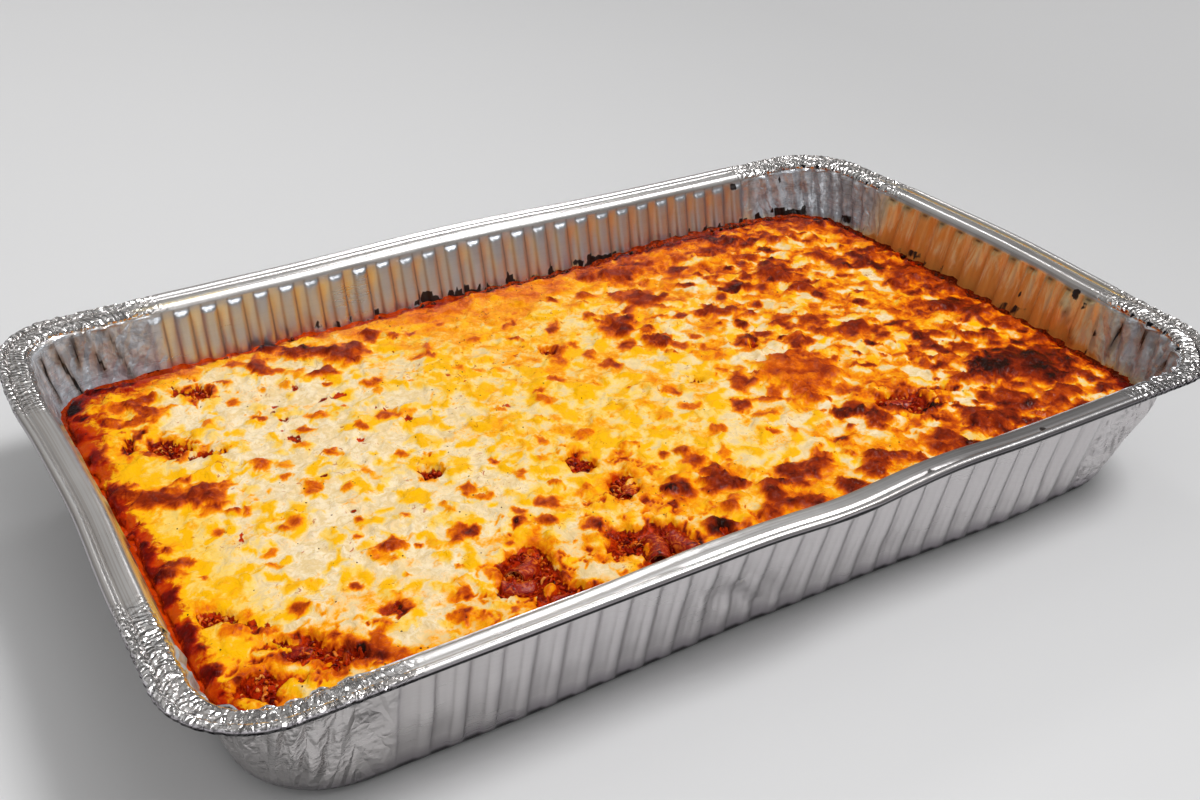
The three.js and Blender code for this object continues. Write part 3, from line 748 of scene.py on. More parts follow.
def foilColour(masks, x, y, rolled, cloudy, wrinkled):
    shades = foilShades
    inside, onWall, paintedShade = masks["inside"], masks["onWall"], masks["paintedShade"]
    metal = blend(cloudy, shades["dull"], shades["bright"])
    metal = blend(stepUp(rolled, 0.36, 0.6), darker(metal, 0.8, 0.77, 0.75), metal)
    # painted shade: the outer face grows darker towards the tray's left end
    outerWithLeftShade = blend(stepUp(x, -0.1, -0.2), shades["outerRight"], shades["outerLeftShaded"])
    wallShade = blend(inside, outerWithLeftShade, shades["innerWall"])
    metal = blend(times(onWall, 0.9), metal, wallShade)
    cornerShade = blend(stepUp(wrinkled, 0.35, 0.65), shades["crumpled"], shades["smoothed"])
    metal = blend(masks["cornerWall"], metal, cornerShade)
    # painted reflection: the near flange's right part is painted darker, as if it mirrored a dim part
    # of the room
    nearRight = times(stepUp(x, -0.01, 0.08), stepUp(y, -0.145, -0.15, 0.0, 0.5))
    metal = blend(times(nearRight, minus(1.0, onWall)), metal, shades["nearFlangeDimReflection"])
    # stains and burnt food, and in sharp creases painted shade in the burnt colour
    for share, shade in (("stained", "stain"), ("deep", "deepStain"), ("charredAndFoldShaded", "burnt")):
        metal = blend(masks[share], metal, shades[shade])
    # painted shade: brown-black on the inner face and grey to black on the outer face, in the
    # grooves, under the bead, at the foot and along sharp creases
    innerShadowColour = blend(stepUp(paintedShade, 0.82, 1.0), (0.5, 0.4, 0.33, 1), (0.2, 0.16, 0.14, 1))
    metal = blend(times(paintedShade, inside), metal, blend(1.0, metal, innerShadowColour, "MULTIPLY"))
    outerShadowColour = blend(stepUp(paintedShade, 0.75, 1.0), darker(metal, 0.55, 0.52, 0.58), shades["shadow"])
    return blend(times(paintedShade, minus(1.0, inside)), metal, outerShadowColour)


def foilMaterial():
    material, tree, surface, place = newMaterial("pressedAluminium")
    around, across = attribute(tree, "around"), attribute(tree, "across")
    inside, corner = attribute(tree, "inside"), attribute(tree, "corner")
    rolled = noiseValue(vectorOf(times(around, 9.0), times(across, 900.0)), 1.0, 2.0)
    cloudy = noiseValue(place, 26.0)
    wrinkled = noiseValue(place, 190.0, 4.0, 0.6, 0.6)
    drips = noiseValue(vectorOf(times(around, 230.0), times(across, 40.0)), 1.0, 4.0, 0.65, 0.6)
    stained = stepUp(plus(attribute(tree, "stain"), timesPlus(drips, 0.7, -0.35)), 0.2, 0.95)
    # the burnt food on the foil, together with the painted shade of sharp creases
    charredAndFoldShaded = stepUp(plus(attribute(tree, "charAndFoldShade"), timesPlus(drips, 0.8, -0.4)), 0.42, 0.6)
    deep = stepUp(stained, 0.75, 1.0)
    x, y, z = partsOf(place)
    onWall = stepUp(z, 0.0716, 0.0705)
    cornerWall = times(times(onWall, inside), stepUp(corner, 0.02, 0.1))
    masks = {"inside": inside, "onWall": onWall, "cornerWall": cornerWall, "stained": stained,
             "deep": deep, "charredAndFoldShaded": charredAndFoldShaded, "paintedShade": attribute(tree, "paintedShade")}
    feed(surface["Base Color"], foilColour(masks, x, y, rolled, cloudy, wrinkled))
    dull = timesPlus(cornerWall, 0.7, times(deep, 0.75))
    feed(surface["Metallic"], calc("SUBTRACT", minus(1.0, dull), charredAndFoldShaded, clamp=True))
    rough = plus(timesPlus(rolled, 0.1, 0.2), times(cloudy, 0.1))
    feed(surface["Roughness"], timesPlus(corner, -0.12, timesPlus(stained, 0.14, rough)))
    fine = bump(surface, rolled, 0.00006, 0.5)
    fine = bump(surface, wrinkled, 0.0005, 0.22, fine)
    # facets where the flange is crimped
    wobble = times(noiseValue(place, 120.0, 2.0), 2.0)
    crimps = facetHeight(vectorOf(timesPlus(around, 320.0, wobble), timesPlus(across, 150.0, wobble)))
    fine = bump(surface, times(crimps, corner), 0.0018, 1.0, fine)
    # long slanting pleats in the walls of the corners
    slight = times(wobble, 0.35)
    pleats = facetHeight(vectorOf(plus(timesPlus(around, 105.0, slight), times(across, 45.0)),
                                  timesPlus(across, 16.0, slight)))
    onPleats = times(onWall, stepUp(corner, 0.01, 0.1))
    onPleats = times(onPleats, timesPlus(inside, -0.45, 1.0))
    bump(surface, times(pleats, onPleats), 0.0034, 1.0, fine)
    return material


print("foil tray: pressed ribs")
runGroup(foilTray, *pressedFoil(), {
    "Rib Depth": foil["ribDepth"] * mm, "Ridge Width": foil["ridgeWidth"],
    "Head Height": foil["headHeight"] * mm, "Head Softness": foil["headSoftness"] * mm,
    "Arch Drop": foil["archDrop"] * mm, "Crease Depth": foil["creaseDepth"] * mm,
    "Seed": foil["seed"], "Material": foilMaterial()})


def toSegment(points, first, last):
    first, last = np.array(first, float), np.array(last, float)
    way = last - first
    share = np.clip((points - first) @ way / (way @ way), 0, 1)
    return np.linalg.norm(points - first - share[:, None] * way, axis=1)


def handled(points, outs):
    # the dents, creases and soft waves that handling left, then the bent sides
    x, y, z = points.T
    inwards = np.zeros(len(points))
    for middle, reach, depth in dents:
        away = np.linalg.norm(points - np.array(middle, float), axis=1)
        facets = 1 + 0.5 * roughNoise(x + 0.6 * z, y + z, 9, 51, 2)
        inwards += depth * np.exp(-(away / reach) ** 2) * facets
    for first, last, width, depth in creases:
        away = toSegment(points, first, last)
        inwards += depth * np.maximum(0, 1 - away / (foil["creaseReach"] * width)) ** 1.5
    onWall = ease(2, 14, z) * ease(74, 68, z)
    wave = roughNoise(x + y, z + 0.5 * y, 31, 54, 2) + 0.5 * roughNoise(x - y, z, 11, 57, 2)
    inwards += foil["handlingWaves"] * wave * onWall
    moved = points - outs * inwards[:, None]
    shiftX, shiftY = bendShift(moved[:, 0], moved[:, 1], moved[:, 2])
    moved[:, 0] += shiftX
    moved[:, 1] += shiftY
    # the foil stays just inside the part's own box
    moved[:, 2] = np.clip(moved[:, 2], 0, tray["depth"] - foil["topGap"])
    least, most = np.array(cadBounds)[:, :2] / mm
    moved[:, :2] = np.clip(moved[:, :2], least + foil["boxGap"], most - foil["boxGap"])
    return moved


trayPoints = handled(pointsOf(foilTray.data), trayOut)
foilTray.data.vertices.foreach_set("co", (trayPoints * mm).ravel())
# the crumpled corners keep their small facets
smoothFaces = np.ones(len(foilTray.data.polygons), dtype=bool)
faceRing, faceStep = np.divmod(np.arange((ringCount - 1) * stationCount), stationCount)
ringHeights = np.array(heightRows)[faceRing]
isPlain = cornerWeight[faceStep] < foil["facetsFrom"]
smoothFaces[:len(faceRing)] = isPlain | (ringHeights < foil["facetsAbove"])
foilTray.data.polygons.foreach_set("use_smooth", smoothFaces)

# what baking left on the foil; places are millimetres
foodLine = 42
marks = {
    "rightWall": 0.8, "farGrooves": 0.24, "foodEdge": 0.35, "rightGroove": 0.75, "farFlange": 0.5,
    "crustLeast": 43.4, "crustReach": 5.4, "flangeHeight": 74,
    # where food burnt on: place, reach
    "burnt": [
        ((248, -65, 68.7), 2.6), ((247, -73, 65), 1.6), ((245, -84, 56), 2.0),
        ((247.7, -37, 66), 1.8), ((245, -31, 56), 1.4), ((243, 49, 47), 1.6), ((243, 20, 46), 1.6),
        ((176, 147, 68.5), 2.0), ((213, 146.7, 66), 1.6), ((195, 144, 55), 1.5),
        ((180, 142, 47), 2.2), ((-214, 143.5, 52), 1.2), ((-27, -142, 43), 0.9),
        ((205, 141, 49), 1.8), ((55.8, -157.6, 75), 2.2), ((125.2, -156.1, 75), 2.6),
    ],
}
x, y, z = trayPoints.T
overFood = z - foodLine
rightWall, farWall, leftWall = ease(225, 243, x), ease(128, 141, y), ease(-228, -240, x)


def foilStains():
    # brown on the inner face: on the grooves, heavier at the right and along the food
    onGroove = byStation(ribShareAt * ease(0.2, 0.34, fromRidge)) * ribRows
    nearFood = ease(15, -1, overFood)
    stain = (
        marks["rightWall"] * rightWall * ease(30, 28, overFood) * mix(0.3, 1, ease(-110, -60, y))
        * ease(112, 70, y) + 0.25 * rightWall * nearFood
        + farWall * (marks["farGrooves"] * onGroove * ease(28, 25.5, overFood)
                     + 0.25 * nearFood * ease(-60, 120, x)
                     + 0.1 * ease(30, 2, overFood) * ease(-120, 0, x))
        + 0.4 * leftWall * nearFood + marks["foodEdge"] * ease(5, 0, overFood))
    # brown lines in the right flange's groove and on the far left flange
    inset = byLevel(insetRows)
    inGroove = ease(3.6, 4.2, inset) * ease(6.4, 5.2, inset) * (z > 72.5) * ease(-120, -90, y)
    patchy = ease(-0.7, 0.0, softNoise(y, x, 37, 61))
    stain += marks["rightGroove"] * rightWall * inGroove * patchy
    onFlange = ease(146, 148, y) * ease(154, 151, y) * (z > 73.5)
    stain += marks["farFlange"] * onFlange * ease(-205, -190, x) * ease(-125, -150, x)
    # the far left corner stayed clean
    return inside * stain * (1 - 0.7 * inside * ease(-198, -212, x) * ease(105, 130, y) * (z < 73))


def burntPlaces():
    charAndFoldShade = np.zeros(len(trayPoints))
    for middle, reach in marks["burnt"]:
        onFlange = middle[2] > marks["flangeHeight"]
        weights = (0.8, 1, 0.2) if onFlange else (1, 1, 0.7)
        away = np.linalg.norm((trayPoints - middle) * weights, axis=1)
        away *= 1 + 0.45 * roughNoise(x + y, z + 0.5 * x, 3.2, 64, 2)
        onFace = 1 if onFlange else inside
        charAndFoldShade = np.maximum(charAndFoldShade, onFace * ease(1.5 * reach, 0.5 * reach, away) * 0.75)
    # a burnt crust along the food
    crust = 0.5 + 0.6 * roughNoise(x + y, 0.5 * z, 5.2, 63, 3)
    top = marks["crustLeast"] + marks["crustReach"] * np.clip(crust, 0, 1) ** 1.4
    share = farWall * ease(-170, -20, x) * (0.25 + 1.1 * crust) + 0.6 * rightWall * crust
    return np.maximum(charAndFoldShade, inside * ease(1.2, -0.6, z - top) * 0.9 * np.clip(share, 0, 1))


stain, charAndFoldShade = foilStains(), burntPlaces()
# painted shade: dark heads over the right wall's ribs, and dark lines painted where the foil is
# folded sharply
paintedShade = paintedShade * (1 - 0.7 * inside * rightWall)
headShadows = byStation(ribShareAt * ease(0.34, 0.16, fromRidge))
paintedShade = np.maximum(paintedShade, headShadows * inside * rightWall * np.exp(-((z - 69.6) / 1.8) ** 2))
for first, last, _, _ in shadedCreases:
    away = toSegment(trayPoints, first, last)
    charAndFoldShade = np.maximum(charAndFoldShade, inside * 0.72 * ease(1.6, 0.5, away))
    paintedShade = np.maximum(paintedShade, inside * ease(2.8, 0.8, away))
foilTray.data.attributes["paintedShade"].data.foreach_set("value", paintedShade.astype(np.float32))
for key, value in (("stain", stain), ("charAndFoldShade", charAndFoldShade)):
    layer = foilTray.data.attributes.new(key, "FLOAT", "POINT")
    layer.data.foreach_set("value", value.astype(np.float32))
finishPiece(foilTray, "foil_tray")


# the food's surface, which the pasta and the cheese share
food = {
    "pastaLevel": 39.5, "sauceClimb": 3.2, "cheeseLift": 4.9, "cheeseEdge": 3.4,
    "farRightRise": 4.2, "cell": 1.3, "halfLength": 243, "halfWidth": 142,
}
# openings in the cheese where pasta and sauce show: middle, half sizes and turn
sauceHoles = [
    (-204, -94, 10, 5.5, -35), (-105, -96, 15, 12, 65), (-98, -119, 13, 5, -30),
    (-46, -110, 17, 12, -20), (-37, -65, 11, 8, 55), (-47, -38, 7, 5.5, -27),
    (-108, -13, 6, 5, 0), (-206, 67, 11, 6, -50), (-180, 109, 8, 4.5, -35),
    (-221, -106, 8, 8, 0), (122, -71, 11, 6, -22), (-190, -107, 12, 5, -33),
    (-224, -61, 9, 4, -33), (44, -5, 4, 2, -25), (91, 10, 4, 3, 18), (-8, 60, 3, 3, 0),
    (-220, 79, 10, 1.6, 75), (-118, -104, 6, 4, 66), (-190, 53, 4, 3, 0), (148, -75, 9, 1.6, -29),
]


def wallDistance(x, y, z=foodLine + 0.7):
    # how far in from the tray's smooth inner wall a point lies, at the food's level
    shiftX, shiftY = bendShift(x, y, z)
    x, y = x - shiftX, y - shiftY
    halfLength = tray["length"] / 2 - wallInset(z)
    halfWidth = tray["width"] / 2 - wallInset(z)
    nearRight, farRight, farLeft, nearLeft = wallRadii(z)
    radius = np.where(x > 0, np.where(y < 0, nearRight, farRight),
                      np.where(y > 0, farLeft, nearLeft))
    overX, overY = np.abs(x) - (halfLength - radius), np.abs(y) - (halfWidth - radius)
    outside = np.hypot(np.maximum(overX, 0), np.maximum(overY, 0))
    return radius - outside - np.minimum(np.maximum(overX, overY), 0)


def innerWallColumns():
    # the tray's inner face, station by station, from the base up
    rows = [index for index, row in enumerate(levelRows)
            if row.get("inside") and 0 < row.get("z", 0) <= 66 and row["inset"] > 13]
    return np.stack([trayPoints[row * stationCount:(row + 1) * stationCount] for row in rows])


def alongColumns(columns, heights):
    # the point of each column at a height of its own
    found = np.empty((stationCount, 3))
    for index in range(stationCount):
        column = columns[:, index]
        for axis in range(2):
            found[index, axis] = np.interp(heights[index], column[:, 2], column[:, axis])
    found[:, 2] = heights
    return found


wallColumns = innerWallColumns()
wallOuts = np.column_stack([outlineAt(wallInset(foodLine), wallRadii(foodLine))[1],
                            np.zeros(stationCount)])
brimLine = alongColumns(wallColumns, np.full(stationCount, foodLine + 0.4))


def foilDistance(x, y):
    # how far in from the pressed and dented foil itself, where that is near
    away = wallDistance(x, y)
    near = (away < 9) & (away > -4)
    first = brimLine[:, :2]
    way = np.roll(first, -1, axis=0) - first
    spots = np.column_stack([x[near], y[near]])
    closest = np.empty(len(spots))
    for start in range(0, len(spots), 2000):
        apart = spots[start:start + 2000, None, :] - first[None]
        share = np.clip((apart * way).sum(axis=2) / (way * way).sum(axis=1), 0, 1)
        apart = apart - share[..., None] * way
        length = np.hypot(apart[..., 0], apart[..., 1])
        nearest = length.argmin(axis=1)
        row = np.arange(len(nearest))
        side = -(apart[row, nearest] * wallOuts[nearest, :2]).sum(axis=1)
        closest[start:start + 2000] = length[row, nearest] * np.sign(side)
    found = away.copy()
    found[near] = mix(closest, away[near], ease(6, 9, away[near]))
    return found


def farRightRise(x, y):
    # the food stands higher against the far wall's right part
    return food["farRightRise"] * np.exp(-((x - 150) / 60) ** 2 - ((y - 140) / 40) ** 2)


def sauceHeight(x, y):
    return (food["pastaLevel"] + food["sauceClimb"] + farRightRise(x, y)
            + 0.6 * softNoise(x, y, 24, 3) + 0.25 * softNoise(x, y, 6, 5))


def blob(x, y, entry, raggedness, seed):
    # 0 at a spot's middle and 1 at its uneven edge
    middleX, middleY, halfLength, halfWidth, turn = entry[:5]
    cos, sin = math.cos(math.radians(turn)), math.sin(math.radians(turn))
    apartX, apartY = x - middleX, y - middleY
    along = (apartX * cos + apartY * sin) / halfLength
    across = (apartY * cos - apartX * sin) / halfWidth
    ripple = roughNoise(x, y, 0.9 * min(halfLength, halfWidth) + 2, seed, 3)
    return np.hypot(along, across) * (1 + raggedness * ripple)


def holeDepth(x, y, outer=1.3, inner=0.66):
    # 1 inside the openings, 0 on the cheese
    depth = np.zeros_like(x)
    for index, entry in enumerate(sauceHoles):
        near = np.hypot(x - entry[0], y - entry[1]) < 2.2 * entry[2] + 4
        if near.any():
            away = blob(x[near], y[near], entry, 0.45, 71 + index)
            depth[near] = np.maximum(depth[near], ease(outer, inner, away))
    return depth


# sauced pasta
pasta = {
    "sideLevels": ((3, 2.4), (9, 2.4), (20, 2.4), (30, 2.4), (37, 1.8), (40, 0.6)),  # height, gap
    "bandInsets": (0, 0.5, 1.1, 1.9, 3, 4.4, 6, 8, 10.5, 13), "stepIn": 2.4, "spine": 105,
    "lumpHeight": 2.6, "reachIntoFoil": 0.12,
    "deepRed": (112, 14, 2), "brightRed": (180, 40, 3), "oilyRed": (198, 66, 3),
    "driedRed": (54, 11, 4),
}


def pastaSurface(x, y):
    # lumps of pasta under sauce, raised where the openings show them
    tubes = np.abs(roughNoise(x + 0.4 * y, y - 0.3 * x, 13, 81, 2))
    bits = roughNoise(x, y, 5, 84, 3)
    hole = holeDepth(x, y)
    return (food["pastaLevel"] - 1.1
            + hole * (2.0 + pasta["lumpHeight"] * (0.9 - 1.3 * tubes) + 0.7 * bits))


def saucedPasta():
    # up along the wall, over a wet brim, and in to a spine along the middle
    loops = []
    for height, gap in pasta["sideLevels"]:
        side = alongColumns(wallColumns, np.full(stationCount, float(height)))
        loops.append(side - gap * wallOuts)
    wet = brimLine
    spatter = np.maximum(0, roughNoise(wet[:, 0] + wet[:, 1], 0.3 * wet[:, 1], 13, 86, 3))
    waterline = sauceHeight(wet[:, 0], wet[:, 1]) + 1.8 * spatter
    brim = alongColumns(wallColumns, waterline)
    for inset in pasta["bandInsets"]:
        ring = brim - wallOuts * (inset - pasta["reachIntoFoil"])
        shore = sauceHeight(ring[:, 0], ring[:, 1]) - 1.3
        level = mix(shore, pastaSurface(ring[:, 0], ring[:, 1]), ease(4, 13, inset))
        creep = math.exp(-inset / 0.9)
        ripple = 0.35 * roughNoise(ring[:, 0], ring[:, 1], 5, 88, 2) * ease(0, 2, inset)
        ring[:, 2] = mix(level, waterline, creep) + ripple * (1 - creep)
        loops.append(ring)
    last = loops[-1]
    spine = np.column_stack([np.clip(last[:, 0], -pasta["spine"], pasta["spine"]),
                             np.zeros(stationCount)])
    steps = int(np.abs(last[:, 1]).max() / pasta["stepIn"])
    for step in range(1, steps):
        flat = mix(last[:, :2], spine, step / steps)
        loops.append(np.column_stack([flat, pastaSurface(*flat.T)]))
    count = len(loops)
    points = np.concatenate(loops + [np.array([[0, 0, 3.0], [0, 0, food["pastaLevel"] - 1]])])
    centre = count * stationCount
    triangles = np.concatenate([fanFaces(0, stationCount, centre, False),
                                fanFaces(centre - stationCount, stationCount, centre + 1, True)])
    x, y, _ = points.T
    values = {"rim": ease(7, 0, wallDistance(x, y)),
              "dark": ease(-60, 190, x + 0.6 * y) + 0.8 * ease(60, 120, y) * ease(-150, -210, x)}
    return meshFrom("saucedPasta", points, ringFaces(count, stationCount), triangles, values)


def sauceMaterial():
    material, tree, surface, place = newMaterial("tomatoSauce")
    lumps = noiseValue(place, 170.0, 4.0, 0.6, 0.8)
    fine = noiseValue(place, 620.0, 3.0)
    rim = attribute(tree, "rim")
    red = blend(stepUp(lumps, 0.35, 0.65), colour(*pasta["deepRed"]), colour(*pasta["brightRed"]))
    oily = stepUp(plus(times(rim, 0.4), lumps), 0.55, 1.05)
    red = blend(oily, red, colour(*pasta["oilyRed"]))
    dried = times(attribute(tree, "dark"), stepUp(plus(fine, lumps), 0.75, 1.15))
    red = blend(times(dried, 0.85), red, colour(*pasta["driedRed"]))
    feed(surface["Base Color"], red)
    feed(surface["Roughness"], timesPlus(fine, 0.16, 0.08))
    surface["Specular IOR Level"].default_value = 0.04
    under = bump(surface, lumps, 0.0012, 0.6)
    bump(surface, fine, 0.0003, 0.5, under)
    return material


print("sauced pasta")
saucePiece = saucedPasta()
saucePiece.data.materials.append(sauceMaterial())
finishPiece(saucePiece, "sauced_pasta")


# tubes of pasta that poke through
tubes = {
    "sides": 22, "steps": 16, "bore": 0.74, "boreDepth": 4.5, "boreSteps": 5,
    "bare": (214, 104, 24), "sauced": (150, 24, 3), "deep": (70, 8, 2), "inBore": (222, 160, 104),
    # middle, height over the pasta, radius, length, turn and tilt, with a bend
    "places": [
        (-50, -109, 1.3, 5.2, 19, -112, 8, 0.25), (-37, -111, 1.0, 5.0, 17, -82, 6, -0.2),
        (-104, -91, 0.6, 4.8, 17, -140, 10, 0.6), (-111, -101, 0.2, 4.4, 15, 158, 4, 0.4),
        (-37, -66, 0.1, 4.2, 13, -120, 12, 0.3), (-99, -119, 0.1, 4.2, 14, -28, 2, 0.2),
        (-204, -94, 0.0, 4.2, 14, -35, 3, 0.3), (120, -71, 0.0, 4.4, 15, -22, 2, 0.2),
    ],
}


def pastaTube(entry, seed):
    middleX, middleY, lift, radius, length, turn, tilt, bend = entry
    count, steps, boreSteps = tubes["sides"], tubes["steps"], tubes["boreSteps"]
    angle = np.linspace(0, 2 * math.pi, count, endpoint=False)
    rings = []

    def ringAt(share, size):
        along = (share - 0.5) * length
        side = bend * radius * (1 - (2 * share - 1) ** 2)
        ripple = 1 + 0.05 * roughNoise(along + seed * 9, angle * 2.5, 3, 90, 2)
        ripple = ripple + 0.025 * np.cos(9 * angle)
        across = size * ripple * np.cos(angle) + side
        high = size * 0.9 * ripple * np.sin(angle)
        return np.column_stack([np.full(count, along), across, high])

    for step in range(steps + 1):
        share = step / steps
        closing = math.sqrt(max(0.0, 1 - max(0.0, 1 - step / 2) ** 2)) if step < 2 else 1
        rings.append(ringAt(share, radius * max(closing, 0.35)))
    wall = radius * (1 - tubes["bore"]) / 2
    rings.append(ringAt(1 + 0.3 * wall / length, radius - wall))
    for step in range(boreSteps + 1):
        share = 1 - step / boreSteps * tubes["boreDepth"] / length
        rings.append(ringAt(share, radius * tubes["bore"]))
    points = np.concatenate(rings)
    points = np.concatenate([points, rings[0].mean(axis=0)[None], rings[-1].mean(axis=0)[None]])
    lean, heading = math.radians(tilt), math.radians(turn)
    x = points[:, 0] * math.cos(lean) - points[:, 2] * math.sin(lean)
    z = points[:, 0] * math.sin(lean) + points[:, 2] * math.cos(lean)
    y = points[:, 1]
    placed = np.column_stack([middleX + x * math.cos(heading) - y * math.sin(heading),
                              middleY + x * math.sin(heading) + y * math.cos(heading),
                              food["pastaLevel"] + lift + z])
    quads = ringFaces(len(rings), count)[:, ::-1]
    centre = len(rings) * count
    triangles = np.concatenate([fanFaces(0, count, centre, True),
                                fanFaces(centre - count, count, centre + 1, False)])
    inBore = np.zeros(len(placed))
    inBore[(steps + 2) * count:] = 1
    return placed, quads, triangles, inBore


def joined(parts):
    # several meshes as one, each with its points, quads, triangles and values
    starts = np.cumsum([0] + [len(part[0]) for part in parts])
    shifted = [(points, quads + start, triangles + start, values)
               for (points, quads, triangles, values), start in zip(parts, starts)]
    return [np.concatenate(group) for group in zip(*shifted)]


def tubeMaterial():
    material, tree, surface, place = newMaterial("saucedTube")
    patches = noiseValue(place, 300.0, 4.0, 0.6, 1.2)
    red = blend(stepUp(patches, 0.3, 0.52), colour(*tubes["bare"]), colour(*tubes["sauced"]))
    red = blend(stepUp(patches, 0.52, 0.68), red, colour(*tubes["deep"]))
    red = blend(times(attribute(tree, "bore"), 0.85), red, colour(*tubes["inBore"]))
    feed(surface["Base Color"], red)
    surface["Roughness"].default_value = 0.16
    surface["Specular IOR Level"].default_value = 0.24
    bump(surface, patches, 0.0009, 0.6)
    return material


points, quads, triangles, bore = joined([pastaTube(entry, index)
                                         for index, entry in enumerate(tubes["places"])])
tubePiece = meshFrom("pastaTubes", points, quads, triangles, {"bore": bore})
tubePiece.data.materials.append(tubeMaterial())
finishPiece(tubePiece)


# melted cheese
cheese = {
    "strokes": 5200, "strokeLength": (2, 9), "strokeWidth": (0.8, 2.3),
    "strokeHeight": (0.5, 1.9), "yellowShare": 0.3, "smallSpots": 1250, "seed": 12,
    "border": {"near": 1.6, "right": 2.4, "far": 2.2, "left": 1.2},
    "mostRelief": 2.4, "spotStrength": 0.72, "spotRaggedness": 0.34, "grainTurn": -28,
    "fromFoil": 1.5, "underside": 1.4,
    "cream": (228, 199, 145), "paleCream": (243, 225, 192),
    "yellow": (244, 204, 104), "deepYellow": (247, 181, 6),
    "toasted": [(0.1, (248, 191, 26)), (0.27, (243, 157, 8)), (0.39, (226, 112, 5)),
                (0.5, (192, 76, 6)), (0.63, (142, 42, 6)), (0.8, (90, 21, 5)),
                (0.95, (38, 13, 6))],
    "fleck": (176, 66, 10), "deepSauce": (100, 10, 2), "brightSauce": (200, 56, 4),
}
# browned spots: middle, half sizes, turn, and how dark they are (1 is a dark brown)
brownSpots = [
    (95, -27, 23, 18, -6, 0.72), (198, -76, 30, 17, -23, 1.2), (48, -96, 10, 8, 17, 1.0),
    (34, -94, 7, 6, 15, 0.95), (27, -117, 11, 6, -24, 1.05), (229, 21, 8, 6, 34, 0.95),
    (1, -87, 10, 7, -19, 1.0), (-19, -81, 7, 6, 0, 0.9), (4, -75, 5, 4, 0, 0.85),
    (17, -103, 10, 4, 50, 0.95), (5, -116, 7, 5, 0, 0.9), (-18, -112, 8, 6, -13, 1.0),
    (-5, -102, 6, 3, 47, 0.8), (-220, 25, 14, 6, -33, 0.95), (-204, 20, 12, 8, -43, 0.95),
    (-102, 106, 11, 9, 80, 0.98), (-114, 118, 11, 7, -38, 0.98), (-125, 122, 7, 6, 0, 0.95),
    (-94, 109, 7, 5, -40, 0.9), (-117, 94, 6, 4, -38, 0.85), (-82, 118, 6, 4, 75, 0.85),
    (-146, 119, 8, 4, 74, 0.95), (-132, 137, 8, 5, 78, 1.1), (-207, 104, 9, 5, -38, 0.85),
    (-240, -3, 12, 5, 78, 0.95), (-241, -20, 13, 4, 76, 0.95), (-234, -24, 8, 6, 0, 0.9),
    (-239, -41, 7, 5, 0, 0.9), (-239, -70, 10, 4, 77, 1.0), (-237, -92, 6, 4, 90, 0.9),
    (-236, 71, 7, 5, -80, 0.85), (-238, 97, 5, 4, -64, 0.8), (-237, 43, 6, 5, -64, 0.85),
    (-239, 28, 8, 4, 84, 0.85), (40, 63, 13, 8, 56, 0.95), (47, 37, 7, 6, 43, 0.9),
    (66, 82, 12, 9, -26, 0.85), (73, 117, 16, 10, -27, 0.85), (42, 102, 6, 5, -25, 0.8),
    (53, 121, 5, 4, -27, 0.85), (9, 45, 4, 3, 56, 0.75), (97, 96, 4, 3, 40, 0.75),
    (97, 49, 15, 6, -28, 0.95), (125, 69, 9, 5, -26, 0.9), (153, 72, 10, 9, 10, 0.9),
    (155, 51, 9, 6, -23, 0.95), (133, 15, 8, 7, 0, 0.9), (115, -1, 8, 5, -23, 0.9),
    (153, -3, 10, 6, -23, 0.95), (132, 2, 6, 3, -23, 0.85), (158, -17, 5, 4, 37, 0.85),
    (61, -17, 7, 6, 25, 0.85), (48, -37, 7, 4, 50, 0.85), (65, -39, 11, 2, -29, 0.8),
    (96, -66, 6, 5, 0, 0.85), (155, 122, 10, 4, -28, 0.95), (152, 99, 9, 4, -27, 0.85),
    (181, 111, 8, 6, -20, 0.9), (191, 81, 8, 5, -23, 0.85), (199, 65, 6, 4, 41, 0.85),
    (218, 62, 10, 8, -6, 0.95), (224, 34, 14, 10, 0, 0.95), (238, 9, 10, 7, 0, 0.95),
    (212, -5, 13, 6, -26, 0.98), (221, -21, 9, 7, 17, 0.95), (224, -40, 6, 5, 10, 0.9),
    (196, -40, 6, 4, -14, 0.85), (184, -30, 7, 4, -22, 0.85), (186, -50, 7, 5, 0, 0.85),
    (208, -45, 6, 5, 0, 0.85), (243, -34, 6, 5, 0, 0.95), (235, -61, 7, 5, -10, 0.95),
    (221, -70, 7, 5, -15, 0.95), (239, -77, 9, 5, -16, 0.98), (221, -99, 8, 4, -19, 0.9),
    (222, -114, 7, 4, 30, 0.95), (197, -107, 11, 8, 20, 0.95), (170, -97, 10, 7, -18, 0.9),
    (148, -108, 14, 9, -7, 0.98), (98, -80, 8, 5, 31, 0.9), (113, -76, 6, 4, -16, 0.9),
    (128, -85, 8, 4, 38, 0.9), (114, -109, 7, 5, -8, 0.85), (118, -116, 8, 5, -19, 0.9),
    (82, -106, 11, 4, -28, 0.9), (70, -112, 8, 6, -11, 0.95), (97, -119, 7, 3, -25, 0.9),
    (52, -116, 8, 5, -23, 0.95), (-146, -55, 5, 4, -41, 0.8), (-119, -63, 5, 3, 66, 0.7),
    (-142, -109, 4, 3, 0, 0.75), (-1, -56, 4, 3, 35, 0.72), (-1, -68, 4, 3, 41, 0.75),
    (-173, 31, 5, 4, -56, 0.62), (-148, -7, 4, 3, 0, 0.6), (-98, -44, 4, 3, -34, 0.62),
    (-82, -72, 6, 3, -30, 0.62), (123, 56, 5, 5, 0, 0.6), (-173, -117, 6, 4, -45, 0.7),
    (-8, 47, 5, 4, 59, 0.6), (-188, -107, 11, 5, -33, 0.75), (-208, 66, 8, 6, -55, 0.8),
]


